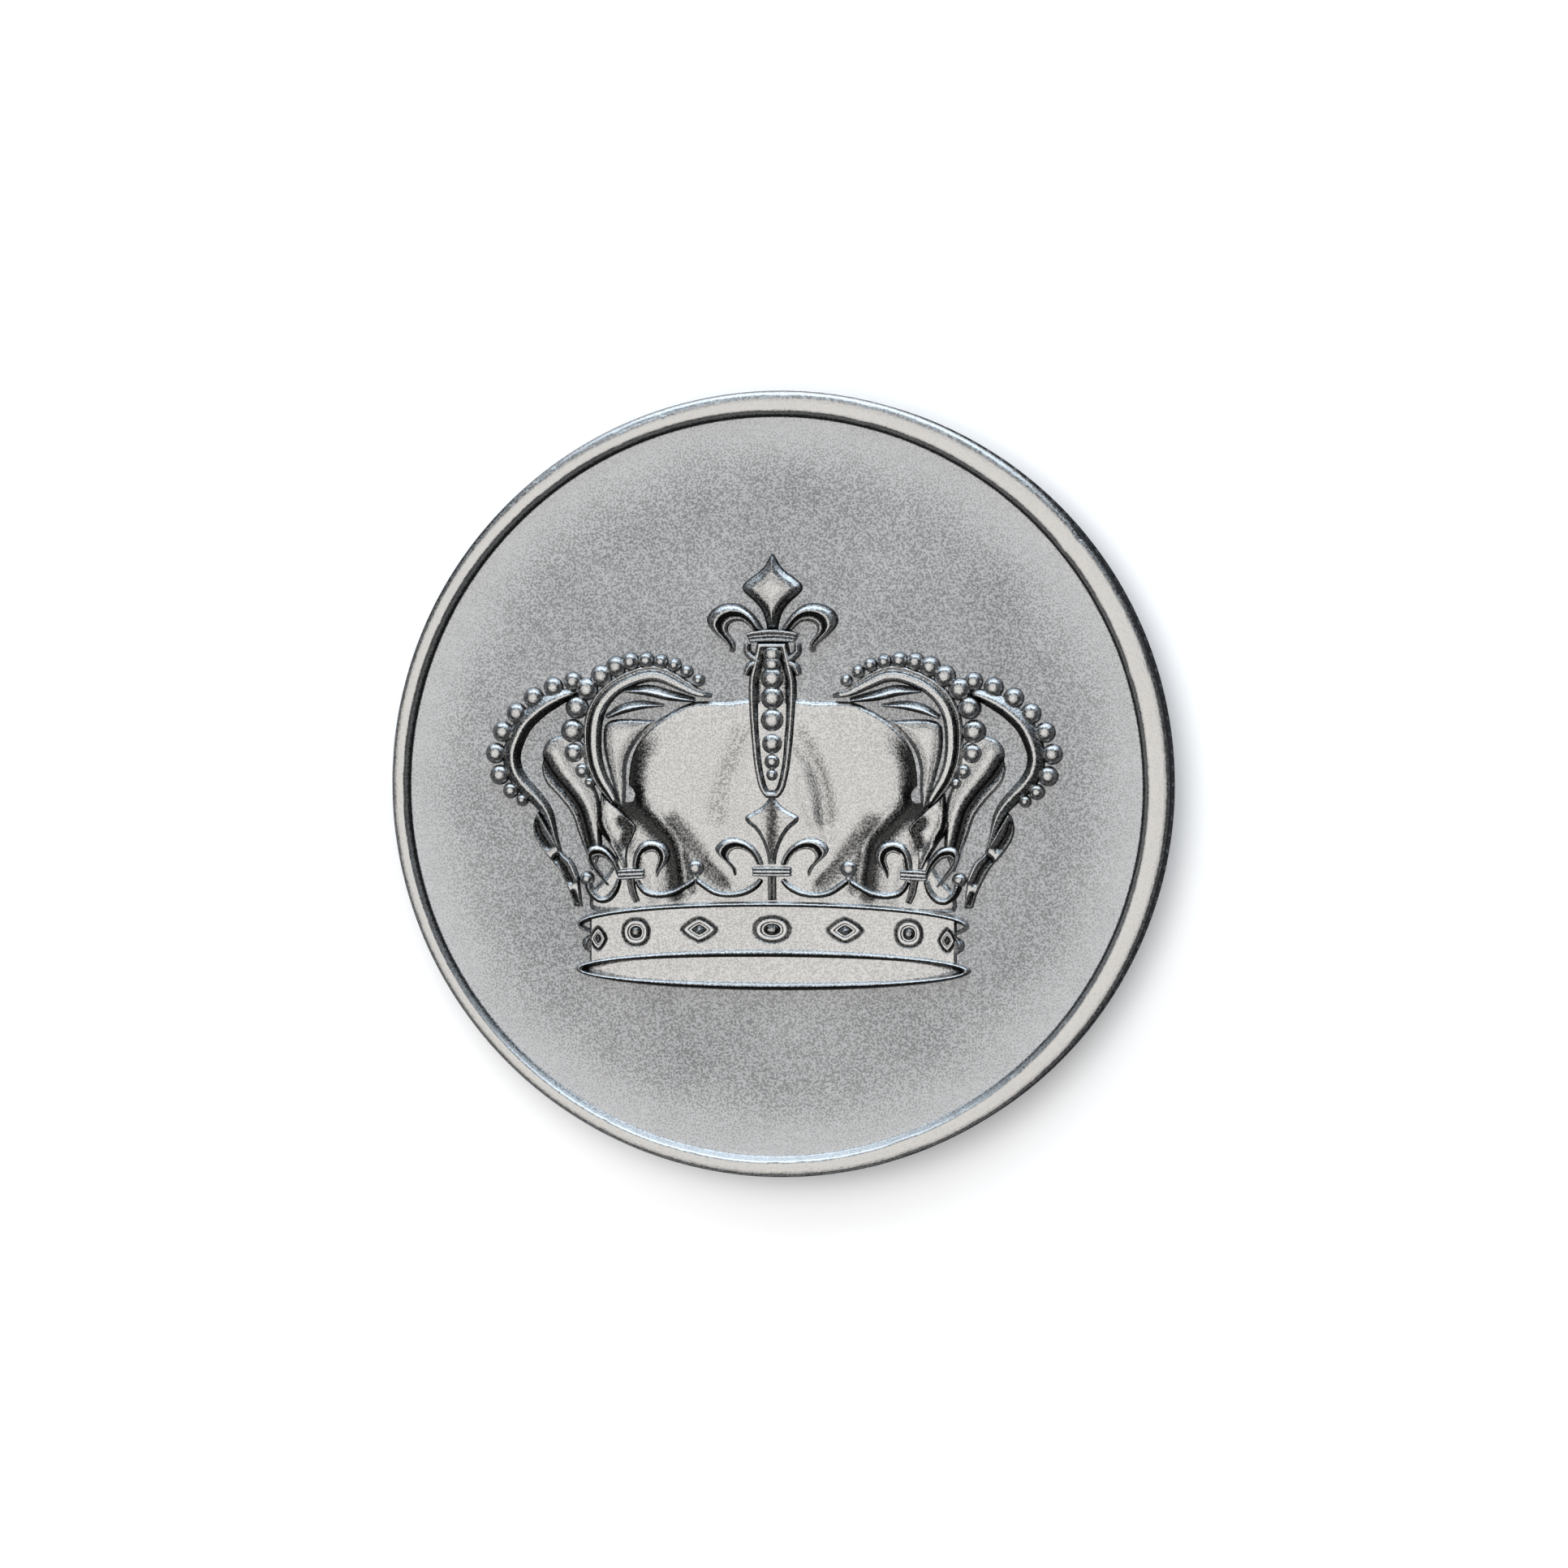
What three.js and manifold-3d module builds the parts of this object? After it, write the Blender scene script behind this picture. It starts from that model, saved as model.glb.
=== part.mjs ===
// A struck metal transit token: a round reeded blank with a raised rim, and on its obverse an arched
// crown in low relief. The frame is the token lying on its reverse: origin at the middle of the reverse
// rim's plane, +Z up through the obverse, +Y towards the crown's finial. All sizes are in millimetres.
import * as THREE from 'three';
import { mergeVertices } from 'three/addons/utils/BufferGeometryUtils.js';
import Module from 'manifold-3d';

// The blank
const DIAMETER = 25.0;
const THICKNESS = 1.85;
const RIM_WIDTH = 0.37; // mean width of the flat on top of each rim
const CORNER_RUN = 0.16; // the corner between rim and side, measured inwards
const CORNER_DROP = 0.2; // the same corner, measured down the side
const CORNER_TURN = 1 / 3; // how far along its run and drop the corner turns from gentle to steep
const FIELD_DEPTH = 0.3; // how far each field lies below its rim
const WALL_RUN = 0.21; // how far the rim's inner wall leans in on its way down
const STRIKE_SHIFT_X = -0.11; // the dies met the blank a little off centre
const STRIKE_SHIFT_Y = 0.02;
const REEDS = 148;
const REED_DEPTH = 0.09;
const ROUND_STEPS = 64; // facets round the corners

// The crown
const CROWN_WIDTH = 18.5; // across the outermost pearls
const CROWN_SHIFT_X = -0.09; // of its middle line from the middle of the field
const DRAWN_WIDTH = 18.48; // the width at which the outlines below are drawn

// How far each layer of the relief stands above the field; each later layer rests on the ones before
const DRAPE_RISE = 0.06;
const LOBE_RISE = DRAPE_RISE + 0.03;
const CAP_RISE = LOBE_RISE + 0.04;
const LEAF_RISE = CAP_RISE + 0.01;
const LEDGE_RISE = CAP_RISE + 0.02;
const RAIL_RISE = LEDGE_RISE + 0.04;
const PEARL_RISE = RAIL_RISE + 0.04;
const FLEUR_RISE = RAIL_RISE + 0.02;
const COLLAR_RISE = FLEUR_RISE + 0.03;
const BAND_RISE = CAP_RISE + 0.02;
const JEWEL_PROUD = 0.05; // jewels above the band they are set on
const MOULDING_PROUD = 0.06; // mouldings above the band between them

const CAP_SLOPE = 0.24; // width of the cap's rounded border
const COLLAR_WAIST = 0.5; // how far a collar's ends pull in, as a share of its half height
const PEARL_SIDES = 9;
const PEARL_RINGS = 2;
const CRUMB = 0.005; // edges shorter than this are merged away after a cut

const FIELD_Z = THICKNESS - FIELD_DEPTH;
const BLANK_RADIUS = DIAMETER / 2;
const RECESS_RADIUS = BLANK_RADIUS - CORNER_RUN - RIM_WIDTH;
const FIELD_RADIUS = RECESS_RADIUS - WALL_RUN;
const DRAWING_SCALE = CROWN_WIDTH / DRAWN_WIDTH;

const LEFT = 1;
const RIGHT = -1;
const SIDES = [['left', LEFT], ['right', RIGHT]];

const wasm = await Module();
wasm.setup();

// ---------------------------------------------------------------------------------- solids and meshes

function toSolid(geometry) {
  const bare = geometry.index ? geometry.toNonIndexed() : geometry.clone();
  bare.deleteAttribute('normal');
  bare.deleteAttribute('uv');
  const merged = mergeVertices(bare);
  const corners = merged.index.array;
  const faces = [];
  for (let i = 0; i < corners.length; i += 3) {
    const [a, b, c] = corners.slice(i, i + 3);
    if (a !== b && b !== c && c !== a) faces.push(a, b, c);
  }
  return new wasm.Manifold(new wasm.Mesh({
    numProp: 3,
    vertProperties: merged.attributes.position.array,
    triVerts: new Uint32Array(faces),
  }));
}

function toGeometry(solid) {
  const mesh = solid.getMesh();
  const geometry = new THREE.BufferGeometry();
  geometry.setAttribute('position', new THREE.BufferAttribute(new Float32Array(mesh.vertProperties), 3));
  geometry.setIndex(new THREE.BufferAttribute(mesh.triVerts, 1));
  return geometry;
}

const joined = (solids) => solids.reduce((whole, solid) => whole.add(solid));

// The main body of a cut piece, without the crumbs that a cut can leave beside it.
function mainBody(solid) {
  const bodies = solid.simplify(CRUMB).decompose();
  return bodies.reduce((best, body) => (body.volume() > best.volume() ? body : best));
}

// --------------------------------------------------------------------------------------- the drawing

const point = ([x, y], side = LEFT) => new THREE.Vector2(side * x * DRAWING_SCALE, y * DRAWING_SCALE);
const mirrored = (edge) => edge.map(([x, y]) => [-x, y]);
const smooth = (edge, side, steps) => (
  new THREE.SplineCurve(edge.map((place) => point(place, side))).getSpacedPoints(steps)
);

// The area between two edges that both run from one end of a piece to the other.
function strip(edgeA, edgeB, side, steps) {
  return new THREE.Shape([...smooth(edgeA, side, steps), ...smooth(edgeB, side, steps).reverse()]);
}

// The area along a spine of [x, y, half width] places, widened on its outer side by `ledge`.
function ribbon(spine, side, steps, ledge = 0) {
  const places = spine.map(([x, y, half]) => new THREE.Vector3(x, y, half));
  const run = new THREE.CatmullRomCurve3(places).getSpacedPoints(steps);
  const outer = [];
  const inner = [];
  run.forEach((here, i) => {
    const before = run[Math.max(i - 1, 0)];
    const after = run[Math.min(i + 1, steps)];
    const along = new THREE.Vector2(after.x - before.x, after.y - before.y).normalize();
    const out = here.z + ledge;
    outer.push(point([here.x + along.y * out, here.y - along.x * out], side));
    inner.push(point([here.x - along.y * here.z, here.y + along.x * here.z], side));
  });
  return new THREE.Shape([...outer, ...inner.reverse()]);
}

function ellipseShape(x, y, halfWidth, halfHeight, steps, side = LEFT) {
  const centre = point([x, y], side);
  const curve = new THREE.EllipseCurve(
    centre.x,
    centre.y,
    halfWidth * DRAWING_SCALE,
    halfHeight * DRAWING_SCALE,
  );
  return new THREE.Shape(curve.getPoints(steps).slice(0, steps));
}

function lozengeShape(x, y, halfWidth, halfHeight, side = LEFT) {
  return new THREE.Shape([
    point([x + halfWidth, y], side),
    point([x, y + halfHeight], side),
    point([x - halfWidth, y], side),
    point([x, y - halfHeight], side),
  ]);
}

// ------------------------------------------------------------------------------------ relief makers

// A flat-topped piece of relief that stands on the field.
function plate(shape, rise) {
  const geometry = new THREE.ExtrudeGeometry(shape, { depth: rise, bevelEnabled: false });
  return toSolid(geometry.translate(0, 0, FIELD_Z));
}

// A piece of relief whose border slopes down to the field over `slope`.
function cushion(shape, rise, slope) {
  const geometry = new THREE.ExtrudeGeometry(shape, {
    depth: rise,
    bevelThickness: rise / 2,
    bevelSize: slope,
    bevelOffset: -slope,
    bevelSegments: 2,
  });
  const size = CROWN_WIDTH * 2;
  const above = new THREE.BoxGeometry(size, size, rise * 2).translate(0, 0, FIELD_Z + rise);
  return toSolid(geometry.translate(0, 0, FIELD_Z - rise / 2)).intersect(toSolid(above));
}

// A pearl: a dome that stands on the field.
function pearl([x, y, radius], side, rise = PEARL_RISE) {
  const profile = [new THREE.Vector2(0, 0)];
  for (let ring = 0; ring < PEARL_RINGS; ring += 1) {
    const angle = (ring / PEARL_RINGS) * (Math.PI / 2);
    const out = radius * DRAWING_SCALE * Math.cos(angle);
    profile.push(new THREE.Vector2(out, rise * Math.sin(angle)));
  }
  profile.push(new THREE.Vector2(0, rise));
  const centre = point([x, y], side);
  const geometry = new THREE.LatheGeometry(profile, PEARL_SIDES);
  return toSolid(geometry.rotateX(Math.PI / 2).translate(centre.x, centre.y, FIELD_Z));
}

// ------------------------------------------------------------------------------------- the blank

function reededDisc() {
  const rim = [];
  for (let i = 0; i < REEDS * 2; i += 1) {
    const radius = BLANK_RADIUS - (i % 2) * REED_DEPTH;
    const angle = (i * Math.PI) / REEDS;
    rim.push(new THREE.Vector2(radius * Math.cos(angle), radius * Math.sin(angle)));
  }
  const side = new THREE.ExtrudeGeometry(new THREE.Shape(rim), { depth: THICKNESS, bevelEnabled: false });
  // Each corner is two facets, and the steep one runs on past the side, so that the reeds fade out into it.
  const flat = BLANK_RADIUS - CORNER_RUN;
  const shoulder = BLANK_RADIUS - CORNER_RUN * CORNER_TURN;
  const shoulderDrop = CORNER_DROP * CORNER_TURN;
  const steepness = (CORNER_DROP - shoulderDrop) / (BLANK_RADIUS - shoulder);
  const past = BLANK_RADIUS + CORNER_RUN;
  const pastDrop = CORNER_DROP + steepness * CORNER_RUN;
  const corners = new THREE.LatheGeometry([
    new THREE.Vector2(0, 0),
    new THREE.Vector2(flat, 0),
    new THREE.Vector2(shoulder, shoulderDrop),
    new THREE.Vector2(past, pastDrop),
    new THREE.Vector2(past, THICKNESS - pastDrop),
    new THREE.Vector2(shoulder, THICKNESS - shoulderDrop),
    new THREE.Vector2(flat, THICKNESS),
    new THREE.Vector2(0, THICKNESS),
  ], ROUND_STEPS).rotateX(Math.PI / 2);
  return toSolid(side).intersect(toSolid(corners));
}

// The hollow that each die leaves inside the rim: a shallow cone with its wide end at the rim's plane.
function recess(face) {
  const past = FIELD_DEPTH; // the cutter runs on past the rim's plane
  const wide = RECESS_RADIUS + (WALL_RUN * past) / FIELD_DEPTH;
  const cutter = new THREE.CylinderGeometry(wide, FIELD_RADIUS, FIELD_DEPTH + past, ROUND_STEPS);
  cutter.rotateX(face * (Math.PI / 2));
  const rimZ = face > 0 ? THICKNESS : 0;
  return toSolid(cutter.translate(STRIKE_SHIFT_X, STRIKE_SHIFT_Y, rimZ));
}

const blank = reededDisc().subtract(recess(1)).subtract(recess(-1)).simplify(CRUMB);

// ------------------------------------------------------------- outlines of the crown, drawn for its left

// Finial at the top of the crown
const FINIAL_BUD = [
  [-0.03, 7.31], [-0.12, 7.18], [-0.25, 6.95], [-0.47, 6.72], [-0.76, 6.51], [-0.95, 6.33], [-0.97, 6.17],
  [-0.85, 6.0], [-0.6, 5.78], [-0.37, 5.5], [-0.25, 5.2], [-0.19, 4.9],
];
const FINIAL_PETAL_OUTER = [
  [-0.26, 4.88], [-0.45, 5.2], [-0.7, 5.48], [-1.0, 5.68], [-1.32, 5.74], [-1.65, 5.69], [-1.95, 5.52],
  [-2.12, 5.23], [-2.02, 4.97], [-1.76, 4.74], [-1.5, 4.54], [-1.37, 4.36], [-1.33, 4.2],
];
const FINIAL_PETAL_INNER = [
  [-0.62, 4.86], [-0.7, 4.92], [-0.8, 5.03], [-0.95, 5.12], [-1.1, 5.14], [-1.25, 5.12], [-1.37, 5.04],
  [-1.42, 4.92], [-1.4, 4.8], [-1.31, 4.66], [-1.21, 4.52], [-1.17, 4.38], [-1.22, 4.2],
];
const FINIAL_COLLAR_TOP = [[-0.88, 4.79], [-0.6, 4.87], [0, 4.93], [0.6, 4.87], [0.88, 4.79]];
const FINIAL_COLLAR_FOOT = [[-0.72, 4.46], [-0.4, 4.47], [0, 4.48], [0.4, 4.47], [0.72, 4.46]];
const SHOULDER_LEAF = [[-0.8, 4.45, 0.12], [-0.8, 4.2, 0.14], [-0.6, 3.98, 0.14], [-0.4, 3.86, 0.1]];
const SHOULDER_FOOT = [[-0.45, 3.86, 0.14], [-0.72, 3.72, 0.16], [-0.86, 3.44, 0.1]];

// Arches, each with a row of [x, y, radius] pearls
const CENTRE_CHANNEL = [
  [-0.5, 4.52], [-0.66, 3.8], [-0.77, 3.3], [-0.78, 2.7], [-0.75, 2.0], [-0.69, 1.3], [-0.62, 0.6],
  [-0.5, 0.0], [-0.38, -0.3], [-0.2, -0.5],
];
const CENTRE_RAIL = [
  [-0.58, 3.72, 0.08], [-0.6, 3.3, 0.16], [-0.6, 2.7, 0.17], [-0.58, 2.0, 0.17], [-0.53, 1.3, 0.15],
  [-0.46, 0.6, 0.15], [-0.37, 0.05, 0.12], [-0.29, -0.4, 0.04],
];
const CENTRE_PEARLS = [
  [0, 4.12, 0.33], [0, 3.8, 0.31], [0, 3.35, 0.37], [0, 2.72, 0.37], [0, 2.02, 0.38], [0, 1.27, 0.34],
  [0, 0.7, 0.26], [0, 0.28, 0.2],
];
const MIDDLE_ARCH = [
  [-1.95, 2.76, 0.05], [-2.45, 2.88, 0.12], [-3.0, 3.16, 0.2], [-3.55, 3.42, 0.24], [-4.0, 3.46, 0.25],
  [-4.5, 3.32, 0.25], [-4.95, 3.1, 0.25], [-5.33, 2.78, 0.26], [-5.6, 2.38, 0.27], [-5.74, 1.9, 0.28],
  [-5.77, 1.3, 0.27], [-5.7, 0.7, 0.25], [-5.5, 0.15, 0.22], [-5.22, -0.3, 0.16], [-4.94, -0.74, 0.04],
];
const MIDDLE_PEARLS = [
  [-2.37, 3.28, 0.19], [-2.75, 3.56, 0.2], [-3.14, 3.77, 0.21], [-3.58, 3.88, 0.22], [-4.06, 3.92, 0.25],
  [-4.57, 3.88, 0.27], [-5.04, 3.72, 0.31], [-5.51, 3.42, 0.33], [-5.98, 3.0, 0.34], [-6.3, 2.42, 0.35],
  [-6.44, 1.66, 0.36], [-6.4, 0.97, 0.31], [-6.12, 0.4, 0.24], [-5.88, 0.02, 0.18],
];
const OUTER_ARCH = [
  [-6.3, 2.9, 0.12], [-6.95, 2.66, 0.25], [-7.5, 2.33, 0.28], [-8.0, 1.85, 0.29], [-8.28, 1.3, 0.29],
  [-8.38, 0.85, 0.28], [-8.3, 0.4, 0.27], [-8.05, 0.0, 0.26], [-7.7, -0.35, 0.23], [-7.4, -0.68, 0.2],
  [-7.2, -1.0, 0.17], [-7.06, -1.4, 0.11], [-6.95, -1.8, 0.07], [-6.8, -2.2, 0.04],
];
const OUTER_PEARLS = [
  [-6.43, 3.25, 0.28], [-7.06, 3.06, 0.3], [-7.7, 2.72, 0.31], [-8.25, 2.23, 0.31], [-8.7, 1.64, 0.31],
  [-8.93, 0.95, 0.31], [-8.8, 0.26, 0.3], [-8.44, -0.24, 0.24], [-8.07, -0.54, 0.19],
];
const ARCH_LEDGE = 0.16; // the pearls' ledge along the outer side of a side arch

// Soft parts behind the arches
const CAP_EDGE = [
  [0, 2.72], [-0.8, 2.74], [-1.4, 2.66], [-2.0, 2.68], [-2.6, 2.64], [-3.2, 2.38], [-3.8, 2.0],
  [-4.3, 1.52], [-4.65, 1.0], [-4.78, 0.45], [-4.76, -0.1], [-4.8, -0.9], [-4.95, -1.6], [-5.1, -2.3],
  [-5.4, -2.9], [-5.85, -3.4], [-5.95, -3.95],
];
const LOBE_OUTER = [[-3.9, 2.02], [-4.9, 2.1], [-5.42, 1.9], [-5.5, 1.3], [-5.38, 0.6], [-4.95, -0.6]];
const LOBE_INNER = [[-3.7, 1.7], [-4.1, 1.4], [-4.35, 1.0], [-4.45, 0.6], [-4.5, 0.1], [-4.6, -0.6]];
const UPPER_SLAT = [[-4.95, 2.92, 0.06], [-4.4, 2.9, 0.14], [-3.6, 2.78, 0.17], [-2.5, 2.62, 0.12]];
const LOWER_SLAT = [[-5.4, 2.15, 0.07], [-4.9, 2.42, 0.13], [-4.3, 2.54, 0.11], [-3.6, 2.56, 0.05]];
const DRAPE_OUTER = [
  [-6.8, 1.58], [-7.2, 1.42], [-7.45, 1.0], [-7.5, 0.5], [-7.35, 0.0], [-6.9, -0.5], [-6.52, -1.0],
  [-6.3, -1.6], [-6.08, -2.2], [-5.87, -2.82],
];
const DRAPE_INNER = [
  [-6.3, 1.5], [-6.0, 1.2], [-5.95, 0.8], [-5.85, 0.3], [-5.7, -0.1], [-5.55, -0.5], [-5.5, -1.0],
  [-5.5, -1.6], [-5.5, -2.2], [-5.7, -2.8],
];
const SIDE_LEAF_OUTER = [
  [-7.58, -0.9], [-7.73, -1.2], [-7.74, -1.55], [-7.6, -1.9], [-7.3, -2.32], [-6.98, -2.68],
  [-6.74, -3.1], [-6.56, -3.5], [-6.42, -3.95],
];
const SIDE_LEAF_INNER = [
  [-7.5, -0.92], [-7.36, -1.15], [-7.2, -1.42], [-6.98, -1.8], [-6.72, -2.25], [-6.42, -2.5],
  [-6.24, -2.9], [-6.16, -3.4], [-6.1, -3.95],
];

// Fleurs on the circlet
const CENTRE_BUD = [
  [-0.03, -0.2], [-0.16, -0.46], [-0.36, -0.7], [-0.62, -0.86], [-0.86, -1.0], [-0.9, -1.14],
  [-0.82, -1.28], [-0.58, -1.48], [-0.37, -1.8], [-0.22, -2.2], [-0.16, -2.6],
];
const CENTRE_PETAL_OUTER = [
  [-0.22, -2.62], [-0.36, -2.25], [-0.6, -1.95], [-0.93, -1.75], [-1.3, -1.68], [-1.62, -1.77],
  [-1.86, -2.02], [-1.76, -2.26], [-1.52, -2.48], [-1.32, -2.7], [-1.2, -2.97],
];
const CENTRE_PETAL_INNER = [
  [-0.5, -2.62], [-0.62, -2.38], [-0.78, -2.22], [-0.96, -2.14], [-1.14, -2.13], [-1.28, -2.2],
  [-1.34, -2.34], [-1.3, -2.48], [-1.2, -2.6], [-1.11, -2.76], [-1.14, -2.97],
];
const CENTRE_COLLAR = { x: 0, y: -2.79, halfWidth: 0.65, halfHeight: 0.19, turn: 0 };
const SIDE_COLLAR = { x: -4.53, y: -2.89, halfWidth: 0.46, halfHeight: 0.2, turn: 3 };
const CENTRE_STEM = [[0, -2.95, 0.17], [0, -3.66, 0.16]];
const SIDE_STEM = [[-4.58, -3.05, 0.17], [-4.48, -3.45, 0.15], [-4.34, -3.76, 0.12]];
const SIDE_BUD_OUTER = [
  [-5.53, -0.3], [-5.57, -0.7], [-5.64, -1.02], [-5.73, -1.28], [-5.6, -1.56], [-5.36, -1.86],
  [-5.08, -2.25], [-4.84, -2.75],
];
const SIDE_BUD_INNER = [
  [-5.47, -0.3], [-5.1, -0.62], [-4.7, -0.96], [-4.32, -1.36], [-4.42, -1.74], [-4.58, -2.08],
  [-4.62, -2.4], [-4.6, -2.75],
];
const NEAR_PETAL_OUTER = [
  [-4.52, -2.76], [-4.5, -2.4], [-4.4, -2.08], [-4.2, -1.85], [-3.9, -1.76], [-3.58, -1.81],
  [-3.34, -2.0], [-3.25, -2.26], [-3.36, -2.52], [-3.56, -2.76], [-3.68, -3.02],
];
const NEAR_PETAL_INNER = [
  [-4.2, -2.76], [-4.16, -2.56], [-4.1, -2.4], [-4.0, -2.28], [-3.88, -2.23], [-3.76, -2.27],
  [-3.7, -2.38], [-3.72, -2.52], [-3.78, -2.66], [-3.8, -2.84], [-3.74, -3.04],
];
const FAR_PETAL_OUTER = [
  [-4.86, -2.78], [-5.04, -2.36], [-5.3, -2.06], [-5.6, -1.93], [-5.88, -1.99], [-6.0, -2.24],
  [-5.92, -2.56], [-5.64, -2.92], [-5.3, -3.3],
];
const FAR_PETAL_INNER = [
  [-4.98, -3.02], [-5.14, -2.7], [-5.36, -2.44], [-5.56, -2.36], [-5.72, -2.38], [-5.76, -2.46],
  [-5.68, -2.62], [-5.48, -2.88], [-5.2, -3.28],
];

// Cresting between the fleurs
const INNER_SWAG = [
  [-0.3, -3.02, 0.1], [-0.55, -3.28, 0.13], [-0.95, -3.48, 0.12], [-1.42, -3.54, 0.11],
  [-1.85, -3.46, 0.12], [-2.2, -3.24, 0.13], [-2.44, -3.06, 0.12],
];
const OUTER_SWAG = [
  [-2.47, -3.08, 0.12], [-2.8, -3.28, 0.12], [-3.2, -3.48, 0.12], [-3.62, -3.56, 0.13],
  [-4.0, -3.5, 0.13], [-4.24, -3.3, 0.12], [-4.36, -3.06, 0.1],
];
const END_SWAG = [
  [-4.9, -3.05, 0.1], [-5.04, -3.42, 0.13], [-5.28, -3.68, 0.13], [-5.56, -3.72, 0.12],
  [-5.8, -3.52, 0.12], [-5.95, -3.22, 0.12],
];
const CREST_PEARL = [-2.46, -2.7, 0.27];
const END_PEARL = [-5.97, -3.04, 0.22];

// Circlet: a jewelled band between two mouldings, seen a little from above
const TOP_ARC = { y: -4.38, halfWidth: 6.3, halfHeight: 0.66, band: 0.24 };
const BASE_RING = { y: -5.915, halfWidth: 6.35, halfHeight: 0.665, band: 0.25 };
const BAND_HALF_WIDTH = 5.9;
const CENTRE_JEWEL = { y: -4.63, halfWidth: 0.53, halfHeight: 0.36 };
const LOZENGE_JEWEL = { x: -2.34, y: -4.65, halfWidth: 0.52, halfHeight: 0.34 };
const ROUND_JEWEL = { x: -4.38, y: -4.74, radius: 0.38 };
const SMALL_JEWEL = { x: -5.6, y: -4.95, halfWidth: 0.22, halfHeight: 0.32 };
const EDGE_STUD = [[-5.93, -4.82], [-6.09, -4.92], [-6.17, -5.1], [-6.09, -5.3], [-5.93, -5.42]];

const EDGE_STEPS = 12; // along a petal, bud or leaf
const ARCH_STEPS = 22; // along an arch
const SWAG_STEPS = 10;
const ARC_STEPS = 18; // along a moulding
const JEWEL_STEPS = 16;

// ------------------------------------------------------------------------------- pieces of the crown

const pieces = [];

function boxesMeet(a, b) {
  return [0, 1].every((axis) => a.min[axis] < b.max[axis] && b.min[axis] < a.max[axis]);
}

// Adds a piece, cut to fit over the pieces that were laid on the field before it.
function lay(name, solid, finish) {
  const box = solid.boundingBox();
  const under = pieces.filter((piece) => boxesMeet(box, piece.solid.boundingBox()));
  const fitted = under.reduce((rest, piece) => rest.subtract(piece.solid), solid);
  pieces.push({ name, solid: mainBody(fitted), finish });
}

const pearls = (row, side) => row.map((one) => pearl(one, side));

function archSolid(spine, row, side) {
  return joined([
    plate(ribbon(spine, side, ARCH_STEPS, ARCH_LEDGE), LEDGE_RISE),
    plate(ribbon(spine, side, ARCH_STEPS), RAIL_RISE),
    ...pearls(row, side),
  ]);
}

function centreArchSolid() {
  return joined([
    plate(strip(CENTRE_CHANNEL, mirrored(CENTRE_CHANNEL), LEFT, EDGE_STEPS), LEDGE_RISE),
    plate(ribbon(CENTRE_RAIL, LEFT, EDGE_STEPS), RAIL_RISE),
    plate(ribbon(CENTRE_RAIL, RIGHT, EDGE_STEPS), RAIL_RISE),
    ...pearls(CENTRE_PEARLS, LEFT),
  ]);
}

function capShape() {
  const left = smooth(CAP_EDGE, LEFT, ARCH_STEPS);
  const right = smooth(CAP_EDGE, RIGHT, ARCH_STEPS).slice(1);
  return new THREE.Shape([...left, ...right.reverse()]);
}

// A collar of a fleur: a short bar with rounded ends, turned a little where the fleur is.
function collarShape({ x, y, halfWidth, halfHeight, turn }, side) {
  const lean = Math.tan(THREE.MathUtils.degToRad(turn));
  const left = x - halfWidth;
  const right = x + halfWidth;
  const waist = halfHeight * COLLAR_WAIST;
  const corner = (px, dy) => point([px, y + dy + (px - x) * lean], side);
  return new THREE.Shape([
    corner(left, -halfHeight),
    corner(right, -halfHeight),
    corner(right - waist, 0),
    corner(right, halfHeight),
    corner(left, halfHeight),
    corner(left + waist, 0),
  ]);
}

// Places on the upper or lower half of an ellipse round the crown's middle line.
function arc({ y, halfWidth, halfHeight }, down, upper, reach = 1) {
  const places = [];
  for (let i = 0; i <= ARC_STEPS; i += 1) {
    const x = -reach * halfWidth * Math.cos((i / ARC_STEPS) * Math.PI);
    const lift = halfHeight * Math.sqrt(Math.max(0, 1 - (x / halfWidth) ** 2));
    places.push(point([x, y - down + (upper ? lift : -lift)]));
  }
  return places;
}

// The upper moulding: a bar that follows the upper half of an ellipse.
function topMouldingShape() {
  return new THREE.Shape([...arc(TOP_ARC, 0, true), ...arc(TOP_ARC, TOP_ARC.band, true).reverse()]);
}

function bandShape() {
  const reach = BAND_HALF_WIDTH / TOP_ARC.halfWidth;
  const top = arc(TOP_ARC, TOP_ARC.band / 2, true, reach);
  const foot = arc(BASE_RING, BASE_RING.band / 2, true, BAND_HALF_WIDTH / BASE_RING.halfWidth);
  return new THREE.Shape([...top, ...foot.reverse()]);
}

function baseRingShape() {
  const { y, halfWidth, halfHeight, band } = BASE_RING;
  const shape = ellipseShape(0, y, halfWidth, halfHeight, ARC_STEPS * 2);
  shape.holes.push(ellipseShape(0, y, halfWidth - band, halfHeight - band, ARC_STEPS * 2));
  return shape;
}

function ringFloorShape() {
  const { y, halfWidth, halfHeight, band } = BASE_RING;
  return ellipseShape(0, y, halfWidth - band, halfHeight - band, ARC_STEPS * 2);
}

const SOFT = 'soft';
const BRIGHT = 'bright';

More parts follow.
